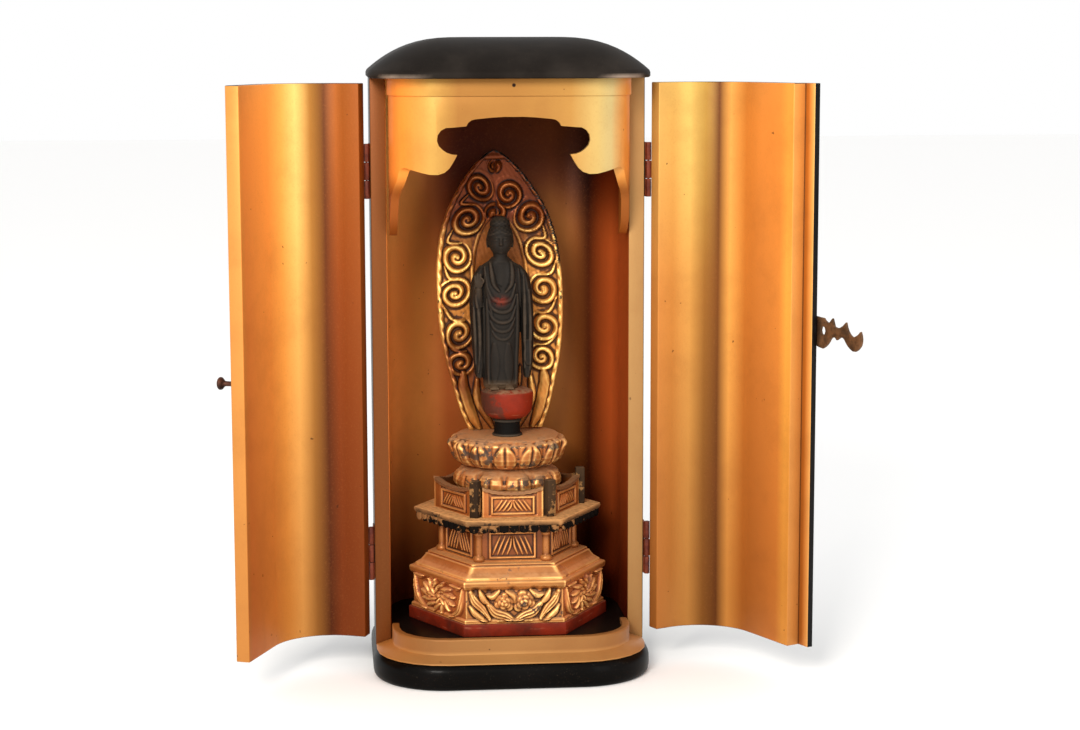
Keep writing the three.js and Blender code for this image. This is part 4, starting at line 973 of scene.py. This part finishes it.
# halo board: a leaf of rows from its foot to its tip, carved on the front
halo = {"foot": (0.6, 14.6, 112.2), "lean": 2.2, "thick": 3, "rows": 300, "cols": 150, "backCols": 24,
    "half": [(18, 0), (21.8, 10), (25.2, 23), (28.4, 37), (30.3, 53), (30.7, 70), (30, 84), (28.2, 96),
    (24.6, 107), (19.4, 117), (12.4, 127), (5, 134.4), (0.02, 137.1)],
    "curls": [(-20.2, 34, 5.9, 1, 1.2), (-21.4, 48.6, 6.7, 1, 1.4), (-21.6, 68.4, 6.9, 1, 1.5),
    (-20.6, 86, 6.9, 1, 1.2), (-14.2, 103.4, 7.3, 1, 0.9), (-7.4, 119, 6, 1, 0.6), (0.6, 129.6, 3, -1, 2.2),
    (5.8, 115.4, 6.2, -1, 2.4), (-1, 106.6, 4.8, 1, 0.4), (15.8, 103.6, 7, -1, 2.2),
    (20.4, 86, 6.9, -1, 1.9), (21.6, 68.4, 6.9, -1, 1.6), (20.6, 50, 6.7, -1, 1.7),
    (19.6, 34.6, 6.1, -1, 1.9)], "turn": 4.3, "rise": 2.4, "tip": 137, "innerTop": 74, "innerHalf": 13.2}


def curlField(u, v):
    # spiral ridges; every point follows the curl that it is nearest to
    u, v = u + 0.6 * np.sin(0.21 * v + 0.4), v + 0.5 * np.sin(0.24 * u + 1.2)
    best = np.full(u.shape, 9.0)
    height = np.zeros_like(u)
    for i, (cu, cv, size, hand, begin) in enumerate(halo["curls"]):
        squash = 1 + 0.09 * math.sin(3.1 * i + 0.5)
        r = np.hypot((u - cu) / squash, (v - cv) * squash)
        angle = np.arctan2(v - cv, u - cu)
        share = r / size
        turn = halo["turn"] * (1 + 0.1 * math.sin(2.3 * i))
        phase = r / turn - hand * (angle - begin) / (2 * math.pi)
        ridge = (0.5 + 0.5 * np.cos(2 * math.pi * phase)) ** 0.75
        ridge = np.maximum(ridge, 1.05 * dome(r / (0.42 * turn)))
        ridge *= halo["rise"] * (0.86 + 0.14 * np.sin(angle * 2 + i)) * (1 - 0.85
            * clamp((share - 1.02) / 0.16))
        near = share < best
        height = np.where(near, ridge, height)
        best = np.where(near, share, best)
    tails = []
    for first, last, outward in ((0, 5, -1), (9, 13, 1)):
        for low, high in zip(halo["curls"][first:last], halo["curls"][first + 1:last + 1]):
            if outward > 0:
                low, high = high, low
            (lowU, lowV, lowSize), (highU, highV, highSize) = low[:3], high[:3]
            tails.append(([(lowU - 0.5 * outward * lowSize, lowV + 0.92 * lowSize),
                (lowU + 0.45 * outward * lowSize, lowV + 1.12 * lowSize),
                (highU + 0.98 * outward * highSize, highV - 0.55 * highSize)], 1.7, 1.5))
    return np.maximum(height * clamp((1.5 - best) / 0.25), strokes(u, v, tails))


def haloRelief(u, v, halfWidth):
    edge = (halfWidth - np.abs(u)) * 0.93
    edge = np.minimum(edge, (halo["tip"] - v) * 0.5)
    height = curlField(u, v)
    upper = dome((v - halo["innerTop"]) / 31)
    inner = halo["innerHalf"] * np.where(v < halo["innerTop"], 1, upper)
    gap = np.abs(u) - inner
    height *= clamp(gap / 1.2)
    height = np.maximum(height, 0.55 * dome(gap / 0.9) * (v > 18) * (v < 106))
    ribs = [([(spread + 5.2, top), (spread + 5.4, top - 9), (spread + 2.4, 9), (spread - 1.6, 1)], wide,
        rise) for spread, rise, top, wide in ((8, 1.7, 25, 4.6), (14.6, 2.1, 29, 6.6))]
    ribField = strokes(u, v, bothSides(ribs))
    height = np.where((v < 30) & (ribField > 0.05), np.maximum(ribField, height * clamp((v - 24) / 5)),
        height * clamp((v - 22) / 6))
    rim = 1.25 * dome((edge - 1.2) / 1.15) * (0.75 + 0.25 * np.sin(v * 1.1))
    stub = strokes(u, v, [([(7.4, 21), (7.6, 25), (8.2, 30.5)], 2, 2.6)])
    height = np.maximum.reduce([height * clamp((edge - 1.2) / 1.2), rim, stub])
    return height + 0.05 * np.sin(u * 1.7 + 1.3 * np.sin(v * 0.6)) * np.sin(v * 0.9 + u)


def makeHalo():
    outline = curve(halo["half"], halo["rows"])
    half, v = outline[:, :1].clip(0.02), outline[:, 1:]
    s = np.linspace(-1, 1, halo["cols"])[None, :]
    chip = 0.35 * np.sin(v * 2.7) * np.sin(v * 1.3 + 1) + 0.25 * np.sin(v * 5.1)
    right = half - clamp((v - 78) / 12) * clamp(chip) * 2.2 * clamp(half / 4)
    u = np.where(s > 0, s * right, s * half)
    z = v + 0 * u
    front = np.stack([u, -haloRelief(u, z, half + 0 * u), z], -1)
    sb = np.linspace(1, -1, halo["backCols"])[None, :]
    ub = np.where(sb > 0, sb * right, sb * half)
    back = np.stack([ub, halo["thick"] + 0 * ub, v + 0 * ub], -1)
    loop = np.concatenate([front, back], 1)
    lean = math.radians(halo["lean"])
    fx, fy, fz = halo["foot"]
    x = loop[..., 0] * math.cos(lean) - loop[..., 2] * math.sin(lean) + fx
    zz = loop[..., 0] * math.sin(lean) + loop[..., 2] * math.cos(lean) + fz
    points = np.stack([x, loop[..., 1] + fy, np.maximum(zz, pedestal["seat"])], -1)
    piece = stack("haloBoard", points, "cabinet", [haloGold], 60)
    hollowOf(piece)
    # rubbed-off gilding along the upper right edge and the tip
    edge = right - np.abs(u)
    bare = clamp((1.7 + 1.2 * chip - edge) / 0.7) * clamp((v - 76) / 6) * (s > 0)
    tip = clamp((v - 131.5) / 2) * clamp((1.2 - (half - np.abs(u))) + 0.8)
    behind = 0.5 * np.repeat(clamp((v - 60) / 30), halo["backCols"], 1)
    keep(piece, "bare", np.concatenate([np.maximum(bare, tip), behind], 1))
    # darker toward the top, painted shade of the valance's shadow; also darker on the lower left, in the
    # flat field behind the figure and on the back
    haloDarkening = 0.95 * clamp((v - 84) / 20) + 0.85 * clamp((60 - v) / 18) * (s < 0)
    haloDarkening = haloDarkening * np.clip((v - 8) / 14, 0.25, 1)
    haloDarkening = np.maximum(haloDarkening, 0.7 * (np.abs(u) < 13) * (v < 96))
    keep(piece, "tone", np.concatenate([clamp(haloDarkening), np.full((len(v), halo["backCols"]), 0.6)], 1))
    settle(piece, "carved_gold", "halo_board")


makeHalo()

cup = {"axis": (0, -1.6), "stem": 120.4, "profile": [(0.02, 112), (7.2, 112), (7.4, 112.3), (7.2, 112.8),
    (6.5, 113.4), (6.2, 115), (6.1, 117.6), (6.2, 118.6), (6.9, 119), (6.9, 119.8), (6.4, 120.2),
    (7.8, 120.6), (10, 121.8), (11.6, 123.8), (12.3, 126.4), (12.6, 129.6), (12.7, 132.6), (12.5, 133.4),
    (12, 133.9), (11, 134.2), (10.4, 134.6), (9.6, 134.8), (0.02, 134.8)]}
cupPiece = lathe("figureCup", cup["profile"], cup["axis"], "cabinet", [redCup, standWood], 80, 45)
for polygon in cupPiece.data.polygons:
    polygon.material_index = int(polygon.center.z < cup["stem"] * mm)
keep(cupPiece, "worn", np.clip(-pointsOf(cupPiece)[:, 0] / 7, -1, 1))
settle(hollowOf(cupPiece, 1), "red_lacquer", "figure_cup")

figure = {"foot": (-3, -1, 134.8), "voxel": 0.34,
    "robe": [(0, 7.6, 5.2), (2, 8.4, 5.9), (6, 8.6, 6), (14, 8.7, 6.3), (26, 9.2, 6.6), (38, 10, 6.9),
    (46, 10.6, 6.9), (52, 11, 6.5), (56.4, 10.8, 5.9), (59.4, 9.2, 5), (61.6, 6, 4.2), (63.6, 4, 3.6)]}


def loftParts(sections, around=40, pleats=0, depth=0.0):
    sections = np.asarray(sections, float)
    dense = curve(sections, 6 * len(sections))
    angle = np.linspace(0, 2 * math.pi, around, endpoint=False)[None, :]
    x, y, z, wide, deep = (dense[:, k:k + 1] for k in range(5))
    ends = np.sin(math.pi * np.linspace(0, 1, len(dense)))[:, None]
    swell = 1 + depth * np.cos(pleats * angle + 0.6) * ends
    rings = np.stack([x + wide * swell * np.cos(angle), y + deep * swell * np.sin(angle),
                      z + 0 * angle], -1)
    if z[0, 0] > z[-1, 0]:
        rings = rings[::-1]
    return rings.reshape(-1, 3), closedFaces(*rings.shape[:2])


def ballPart(centre, size, shape=None, around=64, tall=48):
    # rounded form; shape(points of the unit ball) pushes them outwards
    lat = np.linspace(-0.985, 0.985, tall)[:, None] * math.pi / 2
    lon = np.linspace(0, 2 * math.pi, around, endpoint=False)[None, :]
    unit = np.stack([np.cos(lat) * np.cos(lon), np.cos(lat) * np.sin(lon), np.sin(lat) + 0 * lon], -1)
    points = unit * np.asarray(size)
    if shape is not None:
        points = points + shape(unit)
    points = points + np.asarray(centre)
    return points.reshape(-1, 3), closedFaces(tall, around)


def spot(unit, x, z, wide, high):
    return np.exp(-((unit[..., 0] - x) / wide) ** 2 - ((unit[..., 2] - z) / high) ** 2)


# raised and sunk places of the face: push, across, up, width, height
face = {"noseTip": (1.1, 0, -0.24, 0.13, 0.09), "bridge": (0.6, 0, -0.06, 0.1, 0.18),
        "upperLip": (0.42, 0, -0.46, 0.2, 0.045), "lowerLip": (0.36, 0, -0.56, 0.16, 0.045),
        "mouthLine": (-0.36, 0, -0.51, 0.24, 0.018), "chin": (0.42, 0, -0.76, 0.2, 0.1)}
facePairs = {"lid": (0.42, 0.36, -0.03, 0.17, 0.075), "lashLine": (-0.34, 0.36, -0.085, 0.2, 0.024),
             "brow": (0.34, 0.34, 0.15, 0.24, 0.045), "cheek": (0.22, 0.45, -0.32, 0.2, 0.16),
             "innerCorner": (-0.34, 0.2, 0.03, 0.09, 0.1)}


def calmFace(unit):
    # closed eyes at half the head's height, straight nose, small mouth; hair cap with rows of curls
    front = clamp(-unit[..., 1] * 1.4)
    x, z = unit[..., 0], unit[..., 2]
    places = [*face.values(), *facePairs.values(),
        *[(k, -across, *rest) for k, across, *rest in facePairs.values()]]
    push = sum(k * spot(unit, *place) for k, *place in places)
    hairLine = 0.36 - 0.2 * np.abs(x) - 0.5 * clamp(unit[..., 1] + 0.35)
    hair = clamp((z - hairLine) / 0.05)
    curls = 0.16 * np.sin(z * 32) * np.sin(np.arctan2(unit[..., 1], x) * 12)
    return unit * (push * front * (1 - hair) + (0.5 + curls) * hair)[..., None]


def hairKnob(unit):
    around = np.arctan2(unit[..., 1:2], unit[..., :1])
    return unit * (0.14 * np.sin(unit[..., 2:] * 13) * np.sin(around * 10))


def figureParts():
    parts = [loftParts([(0, 0, h, w, d) for h, w, d in figure["robe"]], 72),
        loftParts([(-10.2, 0, 5, 0.8, 1.6), (-10.4, 0, 6.6, 1.9, 3), (-10.6, 0, 16, 2.6, 3.8),
        (-11, -0.2, 28, 3, 4.5), (-11.6, -0.8, 40, 3.1, 5), (-11.4, -1, 47, 3, 4.7),
        (-10.6, 0, 53.6, 2.8, 4), (-8.4, 0.4, 59.4, 1.6, 2.4)], 48, 6, 0.11),
        loftParts([(12.6, 0, 5, 0.8, 1.6), (12.8, -0.2, 6.4, 1.7, 3), (13, -0.3, 15, 2.5, 4),
        (13, -0.3, 28, 2.8, 4.4), (12.6, 0, 40, 2.9, 4.4), (11.9, 0.2, 49, 2.9, 4.1),
        (10.4, 0.2, 55.6, 2.6, 3.6), (8, 0.4, 59.8, 1.6, 2.4)], 48, 6, 0.11),
        loftParts([(0, 0.4, 57, 4.6, 3.8), (0, -0.1, 61, 3.7, 3.3), (0, -0.3, 64, 3.4, 3.3),
        (0, -0.2, 68, 3.8, 3.8)]), ballPart((0, -0.5, 72.2), (5.9, 5.8, 8.2), calmFace, 110, 96),
        ballPart((0, 0.3, 79.4), (4.9, 4.8, 3.7), hairKnob, 64, 40)]
    for side in (-1, 1):
        foot = side * 3.6 + 0.1
        parts += [ballPart((side * 5.95, 0.8, 71), (0.7, 1.3, 3.2), None, 20, 16),
                  ballPart((foot, -4.9, 1), (2.4, 3.6, 1.5), None, 24, 16)]
        parts += [ballPart((foot + (toe - 1.5) * 1.1, -8, 0.75), (0.6, 0.9, 0.7), None, 12, 8)
            for toe in range(4)]
    # raised hand: forearm, open palm, fingers, and thumb bent to the first finger
    parts.append(loftParts([(-11, -3.4, 40, 2.7, 2.7), (-11, -5, 45, 2.1, 2.1),
        (-10.9, -5.9, 49, 1.6, 1.4)], 24))
    parts.append(ballPart((-10.8, -6.2, 51.6), (2.15, 1.0, 2.7), None, 28, 20))
    for dx, tip in ((-1.5, 55.6), (-0.4, 56.8), (0.75, 56.4)):
        parts.append(loftParts([(-10.8 + dx, -6.3, 52, 0.66, 0.66),
            (-10.8 + dx * 1.15, -6.4, tip - 0.9, 0.58, 0.58), (-10.8 + dx * 1.15, -6.3, tip, 0.24, 0.24)],
            12))
    parts.append(loftParts([(-9.4, -6.3, 51, 0.6, 0.6), (-8.5, -6.8, 52.8, 0.55, 0.55),
        (-9.4, -7, 54.2, 0.45, 0.45)], 12))
    # lowered hand, palm forward
    parts.append(loftParts([(12.7, -3.4, 24, 2, 1.9), (12.8, -4.3, 20, 1.5, 1.3),
        (12.9, -4.7, 17.6, 1.8, 0.95), (13, -4.8, 14.6, 1.7, 0.8), (13.1, -4.7, 11.8, 1.1, 0.5)], 24))
    return parts


figureLines = [([(-5, 61.6), (-4.4, 56), (-3.4, 51), (-1, 47.6)], 2.3, 1.2),
    ([(4.8, 62), (5.4, 56), (4.8, 51), (2, 47.2)], 2.3, 1.2),
    ([(-7.6, 59), (-7, 50), (-5.6, 42), (-4.4, 36)], 1.9, 0.8),
    ([(-6.8, 50), (-4.2, 44.4), (0.2, 42.6), (4.6, 44.2), (6.8, 51)], 2.1, 0.95),
    ([(-6.6, 44), (-4, 39.4), (0.2, 37.6), (4.6, 39.2), (7, 46)], 2, 0.85),
    ([(-6.2, 38.6), (-3.6, 34.2), (0.3, 32.6), (4.6, 34), (7, 40.6)], 1.9, 0.8),
    ([(-5.4, 33.4), (-3.2, 29.6), (0.4, 28.2), (4.2, 29.6), (6.6, 35)], 1.8, 0.65),
    ([(-4.4, 28.4), (-2.4, 25.6), (0.6, 24.4), (3.6, 25.4), (5.8, 29)], 1.6, 0.5),
    ([(-6.8, 44), (-6.4, 30), (-6.2, 14), (-5.8, 2)], 2, 1.0),
    ([(7.6, 46), (7.9, 30), (7.4, 14), (6.8, 2)], 2, 1.1), ([(-3.4, 22), (-3.2, 12), (-3.4, 3)], 4.6, 0.6),
    ([(3.4, 22), (3.6, 12), (3.9, 3)], 4.6, 0.6),
    ([(-8.4, 42), (-8.2, 28), (-8.6, 12), (-8.8, 7)], 1.5, 0.7),
    ([(-12.4, 46), (-11, 36), (-10.4, 22), (-10.8, 8)], 1.8, 0.8),
    ([(-13.2, 40), (-12.6, 26), (-12.2, 12)], 1.5, 0.7),
    ([(10.8, 55), (11.6, 44), (11.4, 30), (11.4, 10)], 1.8, 0.8),
    ([(13.4, 48), (14.2, 36), (14, 22), (13.8, 9)], 1.6, 0.7),
    ([(8.4, 58), (9.2, 50), (9.4, 40)], 1.6, 0.6), ([(-7, 2), (-3, 2.8), (2, 2.6), (7.4, 1.9)], 1.5, 0.6)]


def makeFigure():
    points, faces = [], []
    for part, quads in figureParts():
        faces += [tuple(i + len(points) for i in quad) for quad in quads]
        points += part.tolist()
    piece = makePiece("standingFigure", points, faces, "cabinet", [figureWood])
    remesh = piece.modifiers.new("carve", "REMESH")
    remesh.mode = "VOXEL"
    remesh.voxel_size = figure["voxel"] * mm
    remesh.use_smooth_shade = True
    evaluated(piece)
    mesh = piece.data
    co, normal = pointsAndNormals(mesh)
    x, y, z = co.T
    facing = clamp(-normal[:, 1] * 1.6) * (y < 1)
    robed = clamp((61.8 - z) / 1.0) * clamp((z - 1.8) / 0.6)
    hand = np.exp(-((x + 10.6) / 3.6) ** 4 - ((z - 51) / 6.4) ** 4) * (y < -4.6)
    neckline = 0.9 * np.exp(-((x - 0.4) / 3.4) ** 4 - ((z - 55) / 6.4) ** 4)
    lift = (0.82 * strokes(x, z, figureLines) - neckline) * facing * robed * (1 - hand)
    back = 0.3 * np.sin((z + 0.05 * x ** 2) * 1.1) * clamp(normal[:, 1]) * (z < 56) * (z > 10)
    co = co + normal * (lift + back)[:, None]
    co[:, 2] = np.maximum(co[:, 2], 0)
    movePoints(piece, co + np.array(figure["foot"]))
    mesh.materials.clear()
    mesh.materials.append(figureWood)
    mesh.shade_smooth()
    hollowOf(piece, 4)
    keep(piece, "redSpot", 0.75 * np.exp(-((x + 0.4) / 2.8) ** 2 - ((z - 43) / 1.9) ** 2) * (y < 0))
    keep(piece, "dusty", np.maximum(clamp((5 - z) / 5), 0.2 * hand))
    settle(piece, "dark_wood", "standing_figure")
    print("figure points", len(co))


makeFigure()

fittings = {"knob": (-8.5, 146.3), "rivet": (3.25, 171.1), "stripEdge": -6.5}
faceY = body["halfY"]  # the closed doors' outer face


def turnedOut(name, profile, place, side, body, finishes, segments=40):
    # turned piece standing out of a door's face; profile is (radius, height out of the face)
    rings = [[(place[0] + x, -faceY - h, place[1] + z) for x, z in circle(r, segments)] for r, h in profile]
    return stack(name, doorTurn(side)(rings), body, finishes, 45)


knobPiece = turnedOut("doorKnob", [(0.02, 0), (1.75, 0), (1.8, 0.3), (1.4, 0.65), (1.2, 1.1), (1.15, 4),
    (1.2, 6), (1.5, 6.7), (2.2, 7.3), (2.8, 7.9), (3, 8.5), (2.9, 9.1), (2.5, 9.5), (1.9, 9.8), (1, 9.97),
    (0.02, 10)], fittings["knob"], -1, "left_door", [knobMetal])
settle(knobPiece, "old_bronze", "door_knob")
rivetPiece = turnedOut("latchRivet", [(0.02, 3.5), (1.3, 3.5), (1.3, 5.35), (2.55, 5.4), (2.7, 5.7),
    (2.6, 6.1), (2.2, 6.5), (1.6, 6.8), (0.8, 6.97), (0.02, 7)], fittings["rivet"], 1, "right_door",
    [latchMetal])
settle(rivetPiece, "old_bronze", "latch_rivet")
hookPiece = bevelled(solidCopy("latch_hook", "latchHook", "latch", [latchMetal]), 0.22, 2, 40)
pivot = np.mean(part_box("latch_rivet"), 0) / mm
away = np.linalg.norm(pointsOf(hookPiece) - pivot, axis=1)
keep(hookPiece, "tone", 0.8 * clamp((13 - away) / 6))
settle(hookPiece, "old_bronze", "latch_hook")

strip = solidCopy("closing_strip", "closingStrip", "right_door", [black, goldStrip])
bevelled(strip, 0.25, 2, 30)
opened = math.radians(-joints["right_door_hinge"]["range_deg"][0])
outward = Vector((math.sin(opened), -math.cos(opened), 0))
for polygon in strip.data.polygons:
    polygon.material_index = int(polygon.normal.dot(outward) < -0.8)
alongOf(strip, doorTurn(1)([(door["meeting"], -faceY, 0), (fittings["stripEdge"], -faceY, 0)])[:, :2])
settle(strip, "black_lacquer", "closing_strip")

hinge = {"nails": 3, "first": 4.2, "pitch": 8.7, "face": 65.72, "bodyRow": -8, "doorRow": -20.2,
         "dome": [(0.85, 0), (0.85, 0.12), (0.72, 0.32), (0.4, 0.46), (0.04, 0.5)],  # radius, height
         "bottoms": {"lower": 44.5, "upper": 227.7}}


def nailRow(name, side, bottom, y, turn, body):
    # domed nail heads up a hinge leaf
    first = bottom + hinge["first"]
    rings = [[(side * (hinge["face"] + h), y + across, first + side * up) for across, up in circle(r, 12)]
             for r, h in hinge["dome"]]
    nails = stack(name, rings, body, [hingeMetal], 60)
    repeated(nails, hingeMetal, hinge["nails"], (0, 0, hinge["pitch"]))
    if turn is not None:
        movePoints(nails, turn(pointsOf(nails)))
    settle(nails, "hinge_copper")


for side, word in ((-1, "left"), (1, "right")):
    for level, bottom in hinge["bottoms"].items():
        stem = word + "_" + level + "_hinge_"
        label = word + level.title() + "Hinge"
        for part, bodyName in (("body_leaf", "cabinet"), ("door_leaf", word + "_door"), ("pin", "cabinet")):
            leaf = solidCopy(stem + part, label + part.title().replace("_", ""), bodyName, [hingeMetal])
            settle(bevelled(leaf, 0.12, 2, 40), "hinge_copper", stem + part)
        nailRow(label + "BodyNails", side, bottom, hinge["bodyRow"], None, "cabinet")
        nailRow(label + "DoorNails", side, bottom, hinge["doorRow"], doorTurn(side), word + "_door")
print("fittings made")

view = {"eye": (-86.9, -1105.1, 302.3), "pan": -5.33, "pitch": -8.04, "roll": -0.12, "lens": 77.1}


def makeCamera():
    pan, pitch, roll = (math.radians(view[k]) for k in ("pan", "pitch", "roll"))
    ahead = Vector((-math.sin(pan) * math.cos(pitch), math.cos(pan) * math.cos(pitch), math.sin(pitch)))
    right = Vector((math.cos(pan), math.sin(pan), 0))
    up = right.cross(ahead)
    x = right * math.cos(roll) + up * math.sin(roll)
    y = up * math.cos(roll) - right * math.sin(roll)
    camera = bpy.data.objects.new("camera", bpy.data.cameras.new("camera"))
    camera.data.lens = view["lens"]
    camera.data.sensor_width = 36
    camera.data.clip_end = 20
    turn = Matrix((x, y, -ahead)).transposed().to_4x4()
    camera.matrix_world = Matrix.Translation(Vector(view["eye"]) * mm) @ turn
    bpy.context.scene.collection.objects.link(camera)
    bpy.context.scene.camera = camera


def softLight(name, place, target, size, power, color):
    lamp = bpy.data.lights.new(name, "AREA")
    lamp.shape = "RECTANGLE"
    lamp.size, lamp.size_y = size
    lamp.energy = power
    lamp.color = color
    holder = bpy.data.objects.new(name, lamp)
    holder.location = place
    holder.rotation_euler = (Vector(target) - Vector(place)).to_track_quat("-Z", "Y").to_euler()
    bpy.context.scene.collection.objects.link(holder)


# each light: place, target, size, watts, colour
studio = {"floor": 6, "key": ((-0.55, -1.5, 0.86), (0, 0, 0.16), (0.5, 0.5), 26, (1, 0.95, 0.88)),
          "fill": ((0.9, -1.3, 0.5), (0, 0, 0.15), (0.7, 1.0), 4, (1, 1, 1))}


def makeStage():
    far = studio["floor"]
    mesh = bpy.data.meshes.new("floor")
    mesh.from_pydata([(-far, -far, 0), (far, -far, 0), (far, far, 0), (-far, far, 0)], [], [(0, 1, 2, 3)])
    f = Finish("floorPaper", Roughness=0.9)
    f.set(Base_Color=(0.97, 0.965, 0.955, 1))
    mesh.materials.append(f.material)
    floor = bpy.data.objects.new("floor", mesh)
    bpy.context.scene.collection.objects.link(floor)
    world = bpy.data.worlds.new("studio")
    world.use_nodes = True
    sky = world.node_tree.nodes["Background"].inputs
    sky["Color"].default_value = (1, 1, 1, 1)
    sky["Strength"].default_value = 1
    bpy.context.scene.world = world
    bpy.context.scene.view_settings.view_transform = "Standard"
    for name in ("key", "fill"):
        softLight(name, *studio[name])


makeCamera()
makeStage()
print("camera and light ready")
